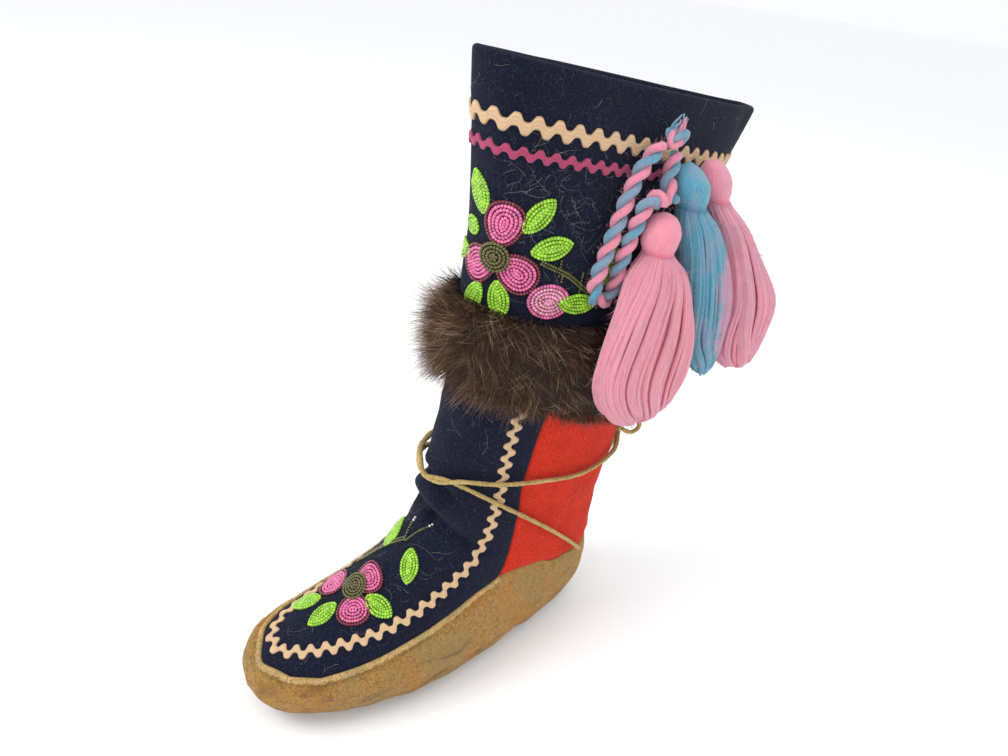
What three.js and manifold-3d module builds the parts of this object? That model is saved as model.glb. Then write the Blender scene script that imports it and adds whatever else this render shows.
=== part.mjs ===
// A beaded mukluk boot for the left foot: a soft hide sole that cups the foot, a wool upper,
// a flared wool shaft, a fur band over their joint, a hide ankle tie and a wool cord with tassels.
// Millimetres. The toe points to -Y, the outer (lateral) side is +X, and +Z is up.
// The origin is on the floor, under the middle of the heel.
import * as THREE from "three";
import Module from "manifold-3d";
import { mergeVertices } from "three/addons/utils/BufferGeometryUtils.js";

const wasm = await Module();
wasm.setup();

// Driving dimensions
const WALL = 3; // wool with its lining, and the hide
const GAP = 0.3; // between pieces that meet
const AROUND = 40; // facets round a section
const JOINT = 21.2; // the section where the shaft is sewn to the upper, under the fur
const INSOLE = 3; // thickness
const THONG = 3.8; // diameter of the ankle tie
const TIE_KNOT_RADIUS = 4.2;
const CORD = 8.4; // diameter of the twisted wool cord
const TASSEL_KNOT_RADIUS = 6.5;
const CORD_STRIDE = 6; // length of a step along a free cord
const BEYOND = 300; // a distance past every piece, for the cutting blocks

// The fur band lies between two sections. It stands out by deep, less under the tassels, round a turn.
const FUR = {
  from: 19.9, to: 22.6, clear: 0.6, deep: 25, pressed: 10, pressedTurn: 0.225, pressedWidth: 0.12,
};

// The outer form, one row for each section from the toe to the collar. A section lies in a plane
// through its back (or sole) point and its front (or instep) point, parallel to X.
//   backY, backZ    the section's point on the sole, the heel or the back of the leg
//   frontY, frontZ  its point on the vamp, the instep or the shin
//   inner, outer    half widths towards the inner and the outer side of the foot
//   wide            share of the way from back to front where it is widest
//   low, high       how square it is below and above that, where 2 is round
const FORM = [
  //backY backZ frontY frontZ inner outer wide low high
  [-214, 25, -214, 25, 0, 0, 0.5, 2.0, 2.0],
  [-211, 16, -212.5, 32, 16, 12, 0.5, 2.0, 2.0],
  [-204, 9, -208, 38, 27, 21, 0.5, 2.0, 2.0],
  [-190, 4, -199, 44, 36, 30, 0.5, 2.2, 2.0],
  [-173, 1, -186, 49, 41.5, 37, 0.47, 2.5, 2.0],
  [-153, -0.8, -169, 55.5, 44, 43.5, 0.43, 2.8, 2.0],
  [-132, -1, -151, 64, 44.5, 48, 0.38, 3.1, 2.0],
  [-111, -1, -136, 73.5, 43, 50, 0.34, 3.3, 2.0],
  [-90, -0.6, -123, 85, 40.5, 50.5, 0.3, 3.4, 2.0],
  [-66, 0.6, -111.5, 98, 39, 49, 0.28, 3.3, 2.0],
  [-40, 0.6, -102, 111.5, 38.5, 46.5, 0.28, 3.2, 2.1],
  [-14, -0.6, -96.5, 124.5, 38.5, 43.5, 0.3, 3.2, 2.1],
  [9, -1, -94.5, 136.5, 38.5, 41.5, 0.36, 3.2, 2.1],
  [28, 1.5, -94, 147, 38.5, 40, 0.42, 3.0, 2.1],
  [40, 12, -93, 157, 38.5, 39, 0.46, 2.8, 2.1],
  [45, 30, -91.5, 166, 38.5, 38.5, 0.48, 2.6, 2.1],
  [45, 50, -89.5, 174.5, 38.5, 38, 0.5, 2.4, 2.1],
  [44.5, 75, -87.5, 183, 38.5, 38, 0.5, 2.3, 2.1],
  [47, 102, -86, 193, 38.5, 38.5, 0.5, 2.2, 2.1],
  [51, 132, -84.5, 203.5, 39, 39, 0.5, 2.2, 2.1],
  [56, 163, -82.5, 216, 40, 40.5, 0.5, 2.1, 2.1],
  [61, 194, -81, 231.5, 41, 41.5, 0.5, 2.1, 2.1],
  [66, 224, -80, 251, 41, 42.5, 0.5, 2.1, 2.1],
  [72, 252, -80.5, 274, 40, 42.5, 0.5, 2.1, 2.1],
  [79, 280, -81, 299, 38, 41.5, 0.5, 2.1, 2.1],
  [89, 308, -84, 326, 35, 40, 0.5, 2.0, 2.0],
  [102, 335, -88, 356, 32, 38, 0.5, 2.0, 2.0],
  [115, 361, -91, 386, 29, 36, 0.5, 2.0, 2.0],
].map(([backY, backZ, frontY, frontZ, inner, outer, wide, low, high]) => ({
  backY, backZ, frontY, frontZ, inner, outer, wide, low, high,
}));
const COLLAR = FORM.length - 1; // the last section

// The hide's upper edge along the foot, as [y, z].
const HIDE_EDGE = [
  [-260, 38], [-205, 39], [-180, 40], [-156, 44], [-130, 51], [-103, 60], [-75, 68],
  [-60, 71], [-42, 67], [-18, 63], [5, 61], [32, 58], [200, 58],
];

// The ankle tie. Each strand starts at a slit in the hide beside the heel, crosses the instep and
// goes round the other side to the knot at the back: section, turn and distance off the form.
const STRAND = [
  [15.1, 0.18, 3.3], [15.2, 0.22, 3.3], [15.15, 0.27, 3.3], [14.65, 0.355, 3.6], [13.95, 0.43, 4],
  [13.35, 0.47, 4.4], [12.85, 0.5, 4.6], [13.3, 0.54, 4.8], [14.4, 0.58, 4.6], [15.9, 0.645, 3.8],
  [17.3, 0.712, 3.4], [18.2, 0.78, 3.4], [18.95, 0.865, 3.8],
];
const TO_KNOT_OUTER = [[19.3, 0.94, 4.4]];
const TO_KNOT_INNER = [[19.3, 0.93, 4], [19.3, 0.98, 4.4], [19.25, 1.024, 4.6]];

// The bow behind the ankle and the cord on the shaft, as points [x, y, z].
const TIE_KNOT = [12.5, 55.3, 143];
const LOOP_OUTER = [
  [14.4, 59.3, 140.6], [16.2, 62.9, 138.1], [18.4, 67.3, 137.5], [20, 70.6, 140.8],
  [20, 70.6, 145.4], [18.4, 67.3, 148.6], [16.2, 62.9, 147.9], [14.4, 59.3, 145.4],
];
const LOOP_INNER = [
  [9, 56.4, 148.2], [1, 60, 151], [-9, 62.5, 149], [-16, 62.8, 142], [-17, 63, 133.5],
  [-10, 63.5, 127.5], [-2, 63.5, 129.5], [3, 63.2, 135.5], [7.8, 59.4, 143.6],
];
const END_OUTER = [
  [12.6, 56.2, 138], [11, 57, 128], [8, 55.5, 115], [5, 53.5, 101], [3, 51.5, 88], [3, 50.5, 78],
];
const END_INNER = [
  [10.4, 60.2, 136.8], [6, 60.4, 130], [0, 58.5, 121], [-6, 55.5, 110], [-10, 53, 98], [-12, 51.5, 88],
];
const TASSEL_KNOT = [47, 2, 357];
const CORD_LONG = [
  [46.6, -6.6, 353.5], [45.8, -13.5, 346], [45.6, -19.5, 335], [46.2, -24.5, 321], [46.8, -28.5, 307],
  [46.8, -32, 293.5], [46.8, -34, 282.5], [46.8, -31.5, 274.5], [47.5, -25.5, 272.5], [48.6, -21.2, 279.5],
  [49.6, -21.4, 292], [51.2, -20.6, 304.5], [52.8, -18.8, 316.5], [54.2, -16.6, 326.5],
  [56, -13, 330.4], [57.4, -9.8, 326],
];
const CORD_SHORT = [
  [48.2, 3.6, 349.6], [48.4, 2.2, 343], [49.6, 0, 337], [52.6, -0.5, 332.2], [56.6, -0.7, 327],
];

// The tassels, a row for each level from the tips up: centre x and y, height z, half breadth along
// the boot and half thickness across it. The first and last rows close to a point.
const TASSELS = {
  //                 x   y    z    broad thick
  tassel_pink_front: [
    [67, -2, 198, 0, 0], [67.5, -2, 203, 16, 7], [68, -2, 214, 29, 12], [68.5, -4, 233, 33.5, 13.5],
    [68, -5, 256, 30.5, 13], [64.5, -4.5, 276, 25, 12.5], [61, -4, 290, 18.5, 11.5],
    [58.5, -4.5, 300, 8.5, 8.5], [58, -5, 306, 9.8, 9.6], [58, -5, 313, 10.2, 10], [58, -5, 320, 6.6, 6.5],
    [58, -5, 323, 0, 0],
  ],
  tassel_blue: [
    [60, 63, 211, 0, 0], [60, 62, 216, 6, 5], [60, 59, 228, 11, 9], [60, 54, 242, 14, 11],
    [60, 47.5, 264, 16.5, 12], [57.5, 38, 288, 16.5, 12], [55.5, 27, 309, 13.5, 11],
    [54.5, 19, 321, 8, 8], [54, 16.5, 328, 9.6, 9.4], [53.5, 15, 335, 9.8, 9.6], [52, 13, 342, 6.5, 6.2],
    [51, 12, 346, 0, 0],
  ],
  tassel_pink_rear: [
    [64, 102, 199, 0, 0], [64, 101, 205, 9, 7], [63.5, 96.5, 220, 20, 12], [63, 92.5, 240, 20.5, 13.5],
    [61, 86.5, 262, 20.5, 14], [57.5, 72.5, 286, 15.5, 12], [54.5, 56.5, 307, 12.5, 11],
    [51, 43.5, 322, 8, 8], [50, 40, 329, 9.4, 9.4], [49.5, 38, 336, 9.4, 9.4], [49, 36, 342.5, 6, 6],
    [49, 35, 346, 0, 0],
  ],
};

// One column of the form at any u, by a cubic through the rows.
function column(u, name) {
  const i = Math.min(Math.floor(u), COLLAR - 1), t = u - i;
  const [a, b, c, d] = [i - 1, i, i + 1, i + 2].map((k) => FORM[Math.max(0, Math.min(COLLAR, k))][name]);
  return b + 0.5 * t * (c - a + t * (2 * a - 5 * b + 4 * c - d + t * (3 * (b - c) + d - a)));
}

// A point of the outer form: u runs from the toe to the collar, and turn runs round the section,
// from 0 at the back through the outer side and 0.5 at the front to 1.
function formPoint(u, turn) {
  const c = Object.fromEntries(Object.keys(FORM[0]).map((name) => [name, column(u, name)]));
  const angle = 2 * Math.PI * turn;
  const square = Math.cos(angle) > 0 ? c.low : c.high;
  const across = Math.sign(Math.sin(angle)) * Math.abs(Math.sin(angle)) ** (2 / square);
  const rise = Math.abs(Math.cos(angle)) ** (2 / square);
  const along = Math.cos(angle) > 0 ? c.wide * (1 - rise) : c.wide + (1 - c.wide) * rise;
  return new THREE.Vector3(
    across * (across > 0 ? c.outer : c.inner),
    c.backY + (c.frontY - c.backY) * along,
    Math.max(0, c.backZ + (c.frontZ - c.backZ) * along),
  );
}

// The form's outward normal, and the point a given distance outside the form.
function formNormal(u, turn) {
  const du = 0.02, dt = 0.004;
  const ahead = formPoint(Math.min(u + du, COLLAR), turn).sub(formPoint(Math.max(u - du, 0.001), turn));
  const round = formPoint(u, turn + dt).sub(formPoint(u, turn - dt));
  return ahead.cross(round).normalize();
}
function outside(u, turn, distance) {
  if (u < 0.01) return formPoint(0, 0).add(new THREE.Vector3(0, -distance, 0));
  return formPoint(u, turn).addScaledVector(formNormal(u, turn), distance);
}

// Solids
function solidOf(geometry) {
  const bare = geometry.index ? geometry.toNonIndexed() : geometry.clone();
  for (const name of ["normal", "uv"]) bare.deleteAttribute(name);
  const merged = mergeVertices(bare, 1e-3);
  return new wasm.Manifold(new wasm.Mesh({
    numProp: 3,
    vertProperties: merged.getAttribute("position").array,
    triVerts: new Uint32Array(merged.index.array),
  }));
}
function geometryOf(solid) {
  const { vertProperties, triVerts } = solid.getMesh();
  return new THREE.BufferGeometry()
    .setAttribute("position", new THREE.BufferAttribute(new Float32Array(vertProperties), 3))
    .setIndex(new THREE.BufferAttribute(new Uint32Array(triVerts), 1));
}

// A closed surface through rings of points, each with the same count; a ring of one point is a pole.
function skin(rings, closed = false) {
  const position = [], index = [], start = [];
  for (const ring of rings) {
    start.push(position.length / 3);
    for (const p of ring) position.push(p.x, p.y, p.z);
  }
  const pairs = closed ? rings.length : rings.length - 1;
  for (let r = 0; r < pairs; r++) {
    const s = (r + 1) % rings.length;
    const [a, b] = [rings[r], rings[s]], n = Math.max(a.length, b.length);
    const at = (ring, k) => start[ring] + (rings[ring].length === 1 ? 0 : k % n);
    for (let k = 0; k < n; k++) {
      if (a.length > 1) index.push(at(r, k), at(s, k), at(r, k + 1));
      if (b.length > 1) index.push(at(r, k + 1), at(s, k), at(s, k + 1));
    }
  }
  return new THREE.BufferGeometry()
    .setAttribute("position", new THREE.BufferAttribute(new Float32Array(position), 3))
    .setIndex(index);
}

const ring = (u, distance) => Array.from({ length: AROUND }, (_, k) => outside(u, k / AROUND, distance));

// The form's sections from one u up to another, a whole row at a time.
function stations(from, to) {
  const near = 0.2;
  const between = FORM.map((_, i) => i).filter((i) => i > from + near && i < to - near);
  return [from, ...between, to];
}

// The lower part of the form as a hollow wall, open at its top and closed at the toe: out along
// its outside and back along its inside.
function footShell() {
  const levels = stations(0, JOINT).slice(1);
  const outer = levels.map((u) => ring(u, 0));
  const inner = levels.map((u) => ring(u, -WALL)).reverse();
  return solidOf(skin([[outside(0, 0, 0)], ...outer, ...inner, [outside(0, 0, -WALL)]]));
}

// The shaft, open at both ends.
function shaftWall() {
  const lift = 0.02; // of a section, which is about the gap
  const levels = stations(JOINT + lift, COLLAR);
  return skin([...levels.map((u) => ring(u, 0)), ...levels.map((u) => ring(u, -WALL)).reverse()], true);
}

// The fur band: a ring with a rounded outside, pressed flatter where the tassels hang over it.
function furBand() {
  const steps = 8, fullness = 0.7, middle = (FUR.from + FUR.to) / 2, half = (FUR.to - FUR.from) / 2;
  const press = (turn) => Math.exp(-(((turn - FUR.pressedTurn) / FUR.pressedWidth) ** 2));
  const deep = (turn) => FUR.deep + (FUR.pressed - FUR.deep) * press(turn);
  const level = (angle) => Array.from({ length: AROUND }, (_, k) => {
    const turn = k / AROUND, edge = FUR.clear + 1;
    const distance = edge + (deep(turn) - edge) * Math.sin(angle) ** fullness;
    return outside(middle - half * Math.cos(angle), turn, distance);
  });
  const out = Array.from({ length: steps + 1 }, (_, i) => level((Math.PI * i) / steps));
  const back = stations(FUR.from, FUR.to).map((u) => ring(u, FUR.clear)).reverse();
  return skin([...out, ...back], true);
}

// A flat felt insole, cut a little smaller than the inside of the foot.
function insole() {
  const slack = 0.8, side = 2 * BEYOND, top = new THREE.Vector3(0, 0, 120);
  const rings = stations(0, 16).slice(1).map((u) => ring(u, -WALL - slack));
  const inside = solidOf(skin([[outside(0, 0, -WALL - slack)], ...rings, [top]]));
  const slab = new THREE.BoxGeometry(side, side, INSOLE).translate(0, 0, WALL + slack + INSOLE / 2);
  return geometryOf(inside.intersect(solidOf(slab)));
}

// A round cord through points, with flat ends.
function cord(points, diameter, stride, sides = 8) {
  const path = new THREE.CatmullRomCurve3(points, false, "centripetal");
  const corners = Array.from({ length: sides }, (_, k) => (2 * Math.PI * k) / sides)
    .map((angle) => new THREE.Vector2(Math.cos(angle), Math.sin(angle)).multiplyScalar(diameter / 2));
  const steps = Math.max(4, Math.round(path.getLength() / stride));
  const settings = { steps, extrudePath: path, bevelEnabled: false };
  return new THREE.ExtrudeGeometry(new THREE.Shape(corners), settings);
}
const vectors = (points) => points.map((p) => new THREE.Vector3(...p));

// The ankle tie: two strands, one the other's mirror as far as the back, joined where they cross.
function ankleTie() {
  const stride = 1.5 * CORD_STRIDE;
  const strand = (rows) => solidOf(cord(rows.map((row) => outside(...row)), THONG, stride));
  const mirrored = [...STRAND, ...TO_KNOT_OUTER].map(([u, turn, distance]) => [u, 1 - turn, distance]);
  return geometryOf(strand([...STRAND, ...TO_KNOT_INNER]).add(strand(mirrored)));
}

// A tassel from its table.
function tassel(rows) {
  const count = 14;
  return skin(rows.map(([x, y, z, broad, thick]) => (broad === 0
    ? [new THREE.Vector3(x, y, z)]
    : Array.from({ length: count }, (_, k) => (2 * Math.PI * k) / count)
      .map((angle) => new THREE.Vector3(x + thick * Math.sin(angle), y + broad * Math.cos(angle), z)))));
}

// Everything above the hide's upper edge, lifted by a distance.
function aboveHideEdge(lift) {
  const shape = new THREE.Shape([
    ...HIDE_EDGE.map(([y, z]) => new THREE.Vector2(y, z + lift)),
    new THREE.Vector2(HIDE_EDGE.at(-1)[0], BEYOND),
    new THREE.Vector2(HIDE_EDGE[0][0], BEYOND),
  ]);
  const block = new THREE.ExtrudeGeometry(shape, { depth: 2 * BEYOND, bevelEnabled: false });
  block.translate(0, 0, -BEYOND);
  block.applyMatrix4(new THREE.Matrix4().makeBasis(
    new THREE.Vector3(0, 1, 0), new THREE.Vector3(0, 0, 1), new THREE.Vector3(1, 0, 0)));
  return solidOf(block);
}

// Materials
const finish = (color, roughness) => new THREE.MeshStandardMaterial({ color, roughness, metalness: 0 });
const HIDE = finish(0xb08a4e, 0.95);
const NAVY_WOOL = finish(0x141b33, 0.95);
const BROWN_FUR = finish(0x3d2a20, 0.9);
const FELT = finish(0xb9ab93, 0.95);
const THONG_HIDE = finish(0xb59a5c, 0.9);
const CORD_WOOL = finish(0x9a86a6, 0.9);
const PINK_WOOL = finish(0xe58a9c, 0.95);
const BLUE_WOOL = finish(0x3d9cb8, 0.95);

const boot = new THREE.Group();
boot.name = "mukluk_boot";
function add(name, geometry, material) {
  const mesh = new THREE.Mesh(geometry, material);
  mesh.name = name;
  boot.add(mesh);
}
const ball = (radius, [x, y, z]) => new THREE.SphereGeometry(radius, 12, 8).translate(x, y, z);

const foot = footShell();
add("sole", geometryOf(foot.subtract(aboveHideEdge(0))), HIDE);
add("insole", insole(), FELT);
add("upper", geometryOf(foot.intersect(aboveHideEdge(GAP))), NAVY_WOOL);
add("shaft", shaftWall(), NAVY_WOOL);
add("fur_band", furBand(), BROWN_FUR);

add("ankle_tie", ankleTie(), THONG_HIDE);
add("tie_knot", ball(TIE_KNOT_RADIUS, TIE_KNOT), THONG_HIDE);
for (const [name, points] of Object.entries({
  tie_loop_outer: LOOP_OUTER, tie_loop_inner: LOOP_INNER, tie_end_outer: END_OUTER, tie_end_inner: END_INNER,
})) add(name, cord(vectors(points), THONG, CORD_STRIDE), THONG_HIDE);

add("tassel_knot", ball(TASSEL_KNOT_RADIUS, TASSEL_KNOT), CORD_WOOL);
add("tassel_cord_long", cord(vectors(CORD_LONG), CORD, CORD_STRIDE, 10), CORD_WOOL);
add("tassel_cord_short", cord(vectors(CORD_SHORT), CORD, CORD_STRIDE, 10), CORD_WOOL);
for (const [name, rows] of Object.entries(TASSELS)) {
  add(name, tassel(rows), name === "tassel_blue" ? BLUE_WOOL : PINK_WOOL);
}

export default boot;
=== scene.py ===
import math

import bpy
import numpy as np
from bpy.props import FloatProperty, FloatVectorProperty, IntProperty, PointerProperty
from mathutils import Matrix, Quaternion, Vector
from mathutils.bvhtree import BVHTree
from mathutils.kdtree import KDTree


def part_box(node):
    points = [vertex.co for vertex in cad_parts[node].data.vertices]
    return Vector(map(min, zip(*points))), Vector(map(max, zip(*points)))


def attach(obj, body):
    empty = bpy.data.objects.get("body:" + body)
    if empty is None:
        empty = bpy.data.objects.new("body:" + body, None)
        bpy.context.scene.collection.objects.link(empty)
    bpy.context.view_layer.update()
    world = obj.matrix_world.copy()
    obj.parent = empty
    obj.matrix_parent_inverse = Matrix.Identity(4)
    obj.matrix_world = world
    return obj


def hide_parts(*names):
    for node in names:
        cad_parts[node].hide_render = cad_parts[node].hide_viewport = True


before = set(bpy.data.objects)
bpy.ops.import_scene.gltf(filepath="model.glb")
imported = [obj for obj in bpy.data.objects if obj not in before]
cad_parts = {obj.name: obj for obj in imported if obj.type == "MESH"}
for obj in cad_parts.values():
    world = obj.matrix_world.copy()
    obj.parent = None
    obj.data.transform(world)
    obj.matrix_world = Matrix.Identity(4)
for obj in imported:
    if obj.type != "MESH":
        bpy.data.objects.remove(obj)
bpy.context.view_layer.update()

bl_info = {
    "name": "Mukluk Boot",
    "version": (1, 0, 0),
    "blender": (4, 5, 0),
    "location": "3D View > Sidebar > Mukluk",
    "description": "A wool, hide and fur winter boot with beadwork, rickrack and yarn tassels",
    "category": "Add Mesh",
}

MM = 0.001
SEED = 11

# The last. One row for each ring from toe to collar, in millimetres: the ring's lowest or rearmost
# point, its highest or foremost point, its reach to the inner and outer side, where along the ring
# it is widest, and how square its lower and upper halves are. The values are mostly fitted by a
# program, as is the camera's place. Many of the (ring, turn) places below were fitted by a program too.
BACK_Y, BACK_Z, FRONT_Y, FRONT_Z, INNER, OUTER, WIDE, LOW, HIGH = range(9)
FORM = np.array([
    (-214, 25, -214, 25, 0, 0, .5, 2, 2),
    (-211, 16, -212.5, 32, 16, 12, .5, 2, 2),
    (-204, 9, -208, 38, 27, 21, .5, 2, 2),
    (-190, 4, -199, 44, 36, 30, .5, 2.2, 2),
    (-173, 1, -186, 49, 41.5, 37, .47, 2.5, 2),
    (-153, -.8, -169, 55.5, 44, 43.5, .43, 2.8, 2),
    (-132, -1, -151, 64, 44.5, 48, .38, 3.1, 2),
    (-111, -1, -136, 73.5, 43, 50, .34, 3.3, 2),
    (-90, -.6, -123, 85, 40.5, 50.5, .3, 3.4, 2),
    (-66, .6, -111.5, 98, 39, 49, .28, 3.3, 2),
    (-40, .6, -102, 111.5, 38.5, 46.5, .28, 3.2, 2.1),
    (-14, -.6, -96.5, 124.5, 38.5, 43.5, .3, 3.2, 2.1),
    (9, -1, -94.5, 136.5, 38.5, 41.5, .36, 3.2, 2.1),
    (28, 1.5, -94, 147, 38.5, 40, .42, 3, 2.1),
    (40, 12, -93, 157, 38.5, 39, .46, 2.8, 2.1),
    (45, 30, -91.5, 166, 38.5, 38.5, .48, 2.6, 2.1),
    (45, 50, -89.5, 174.5, 38.5, 38, .5, 2.4, 2.1),
    (44.5, 75, -87.5, 183, 38.5, 38, .5, 2.3, 2.1),
    (47, 102, -86, 193, 38.5, 38.5, .5, 2.2, 2.1),
    (51, 132, -84.5, 203.5, 39, 39, .5, 2.2, 2.1),
    (56, 163, -82.5, 216, 40, 40.5, .5, 2.1, 2.1),
    (61, 194, -81, 231.5, 41, 41.5, .5, 2.1, 2.1),
    (66, 224, -80, 251, 41, 42.5, .5, 2.1, 2.1),
    (72, 252, -80.5, 274, 40, 42.5, .5, 2.1, 2.1),
    (79, 280, -81, 299, 38, 41.5, .5, 2.1, 2.1),
    (89, 308, -84, 326, 35, 40, .5, 2, 2),
    (102, 335, -88, 356, 32, 38, .5, 2, 2),
    (115, 361, -91, 386, 29, 36, .5, 2, 2),
])
COLLAR = len(FORM) - 1
JOINT = 21.2            # the ring where shaft and foot are sewn together, under the fur
PEAK = 11.19            # the ring where the hide's edge is highest and the side seam starts
SEAM_TURN = 0.312       # the side seams, as a share of a turn from the heel line
STRIP_TURN = 0.042      # half the navy strip that runs up the heel
RIM = 2.2               # the radius that the wool is rolled to at the collar
TURN_WEIGHT = 40        # how many rings a whole turn counts for where a route is smoothed

# The hide's upper edge, from the toe to the seam and from the heel to the seam: (ring, turn).
TOE_EDGE = ((2.37, .5), (2.42, .483), (3.26, .398), (4.22, .362), (5.48, .353), (6.9, .348),
            (8.54, .338), (10, .326), (PEAK, SEAM_TURN))
HEEL_EDGE = ((0, 16.15), (.04, 16.1), (.111, 15.78), (.165, 15.2), (.213, 14.43), (.249, 13.5),
             (.285, 12.3), (SEAM_TURN, PEAK))

# The folds in the wool: start (ring, turn), end (ring, turn), width and depth in millimetres. A
# negative depth is a ridge.
FOLDS = (
    ((10.75, .56), (10.55, .47), 4.5, 5.5),
    ((10.6, .48), (11.1, .385), 3.6, 4.2),
    ((11.0, .39), (11.6, .35), 4, 1.6),
    ((11.7, .57), (11.6, .46), 7, -4.6),
    ((11.7, .46), (11.9, .41), 6, -2),
    ((12.9, .60), (12.7, .44), 3.5, 2.6),
    ((13.6, .53), (13.4, .43), 5, -1.6),
    ((9.6, .60), (10.3, .53), 5, 2.0),
    ((15.4, .68), (14.3, .57), 5, 1.8),
    ((13.4, .30), (15.4, .19), 6, 1.0),
    ((14.7, .26), (16.3, .12), 5, -1.2),
    ((16.2, .25), (17.7, .10), 6, 1.3),
    ((17.5, .20), (18.9, .12), 6, -1.0),
    ((13.2, .72), (15.4, .82), 6, 1.4),
    ((15.2, .76), (16.8, .90), 6, -1.2),
    ((17.0, .74), (18.2, .88), 6, 1.3),
    ((16.2, .40), (19.4, .37), 7, -.9),
    ((15.8, .50), (19.6, .47), 8, .9),
    ((23.2, .50), (25.9, .50), 9, 1.7),
    ((22.4, .40), (24.2, .36), 12, -1.2),
    ((24.6, .36), (25.7, .20), 13, 1.3),
    ((26.9, .31), (25.2, .25), 12, 1.5),
    ((26.9, .42), (25.6, .43), 10, -1.0),
    ((22.6, .24), (24.8, .12), 12, -1.2),
    ((26.9, .12), (24.4, .07), 10, 1.4),
    ((26.9, .66), (24.2, .62), 12, 1.5),
    ((26.6, .84), (23.6, .78), 13, 1.4),
    ((22.3, .70), (24.8, .72), 11, -1.1),
    ((26.9, .95), (24.0, .96), 10, 1.2),
)

# Routes of the thong and the tassel cord, in millimetres: (ring, turn, distance) on the boot, then
# points in space.
STRAND = ((15.1, .18, 3.3), (15.2, .22, 3.3), (15.15, .27, 3.3), (14.65, .355, 3.6), (13.95, .43, 4),
          (13.35, .47, 4.4), (12.85, .5, 4.6), (13.3, .54, 4.8), (14.4, .58, 4.6), (15.9, .645, 3.8),
          (17.3, .712, 3.4), (18.2, .78, 3.4), (18.95, .865, 3.8))
TO_KNOT_INNER = ((19.3, .93, 4), (19.3, .98, 4.4), (19.25, 1.024, 4.6))
TO_KNOT_OUTER = ((19.3, .94, 4.4),)
TIE_KNOT = (12.5, 55.3, 143)
LOOP_OUTER = ((14.4, 59.3, 140.6), (16.2, 62.9, 138.1), (18.4, 67.3, 137.5), (20, 70.6, 140.8),
              (20, 70.6, 145.4), (18.4, 67.3, 148.6), (16.2, 62.9, 147.9), (14.4, 59.3, 145.4))
LOOP_INNER = ((9, 56.4, 148.2), (1, 60, 151), (-9, 62.5, 149), (-16, 62.8, 142), (-17, 63, 133.5),
              (-10, 63.5, 127.5), (-2, 63.5, 129.5), (3, 63.2, 135.5), (7.8, 59.4, 143.6))
END_OUTER = ((12.6, 56.2, 138), (11, 57, 128), (8, 55.5, 115), (5, 53.5, 101), (3, 51.5, 88), (3, 50.5, 78))
END_INNER = ((10.4, 60.2, 136.8), (6, 60.4, 130), (0, 58.5, 121), (-6, 55.5, 110), (-10, 53, 98),
             (-12, 51.5, 88))
TASSEL_KNOT = (47, 2, 357)
CORD_LONG = ((46.6, -6.6, 353.5), (45.8, -13.5, 346), (45.6, -19.5, 335), (46.2, -24.5, 321),
             (46.8, -28.5, 307), (46.8, -32, 293.5), (46.8, -34, 282.5), (46.8, -31.5, 274.5),
             (47.5, -25.5, 272.5), (48.6, -21.2, 279.5), (49.6, -21.4, 292), (51.2, -20.6, 304.5),
             (52.8, -18.8, 316.5), (54.2, -16.6, 326.5), (56, -13, 330.4), (57.4, -9.8, 326))
CORD_SHORT = ((48.2, 3.6, 349.6), (48.4, 2.2, 343), (49.6, 0, 337), (52.6, -.5, 332.2), (56.6, -.7, 327))

# The tassels, a row for each level from the lowest tip to the bound neck and head: the centre's
# x, y and z, and half the breadth along and across the boot, in millimetres.
PINK_FRONT = ((67, -2, 198, 0, 0), (67.5, -2, 203, 16, 7), (68, -2, 214, 29, 12), (68.5, -4, 233, 33.5, 13.5),
              (68, -5, 256, 30.5, 13), (64.5, -4.5, 276, 25, 12.5), (61, -4, 290, 18.5, 11.5),
              (58.5, -4.5, 300, 8.5, 8.5), (58, -5, 306, 9.8, 9.6), (58, -5, 313, 10.2, 10),
              (58, -5, 320, 6.6, 6.5), (58, -5, 323, 0, 0))
BLUE = ((60, 63, 211, 0, 0), (60, 62, 216, 6, 5), (60, 59, 228, 11, 9), (60, 54, 242, 14, 11),
        (60, 47.5, 264, 16.5, 12), (57.5, 38, 288, 16.5, 12), (55.5, 27, 309, 13.5, 11),
        (54.5, 19, 321, 8, 8), (54, 16.5, 328, 9.6, 9.4), (53.5, 15, 335, 9.8, 9.6),
        (52, 13, 342, 6.5, 6.2), (51, 12, 346, 0, 0))
PINK_REAR = ((64, 88.5, 213, 0, 0), (64, 88.5, 217, 9, 7), (63.5, 88, 226, 18, 12), (63, 87.5, 242, 20, 13.5),
             (61, 86.5, 262, 20.5, 14), (57.5, 72.5, 286, 15.5, 12), (54.5, 56.5, 307, 12.5, 11),
             (51, 43.5, 322, 8, 8), (50, 40, 329, 9.4, 9.4), (49.5, 38, 336, 9.4, 9.4), (49, 36, 342.5, 6, 6),
             (49, 35, 346, 0, 0))
NECK_ROW = -5           # the row of a tassel's table where it is bound


def paint(code):
    """A colour written as six hexadecimal digits, as the linear numbers that a shader takes."""
    parts = [int(code[k:k + 2], 16) / 255 for k in (0, 2, 4)]
    return tuple(p / 12.92 if p <= .04045 else ((p + .055) / 1.055) ** 2.4 for p in parts)


def colour(name, code, text):
    return FloatVectorProperty(name=name, description=text, default=paint(code), subtype="COLOR",
                               size=3, min=0, max=1)


def length(name, millimetres, text):
    return FloatProperty(name=name, description=text, default=millimetres * MM, unit="LENGTH", min=0)


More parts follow.
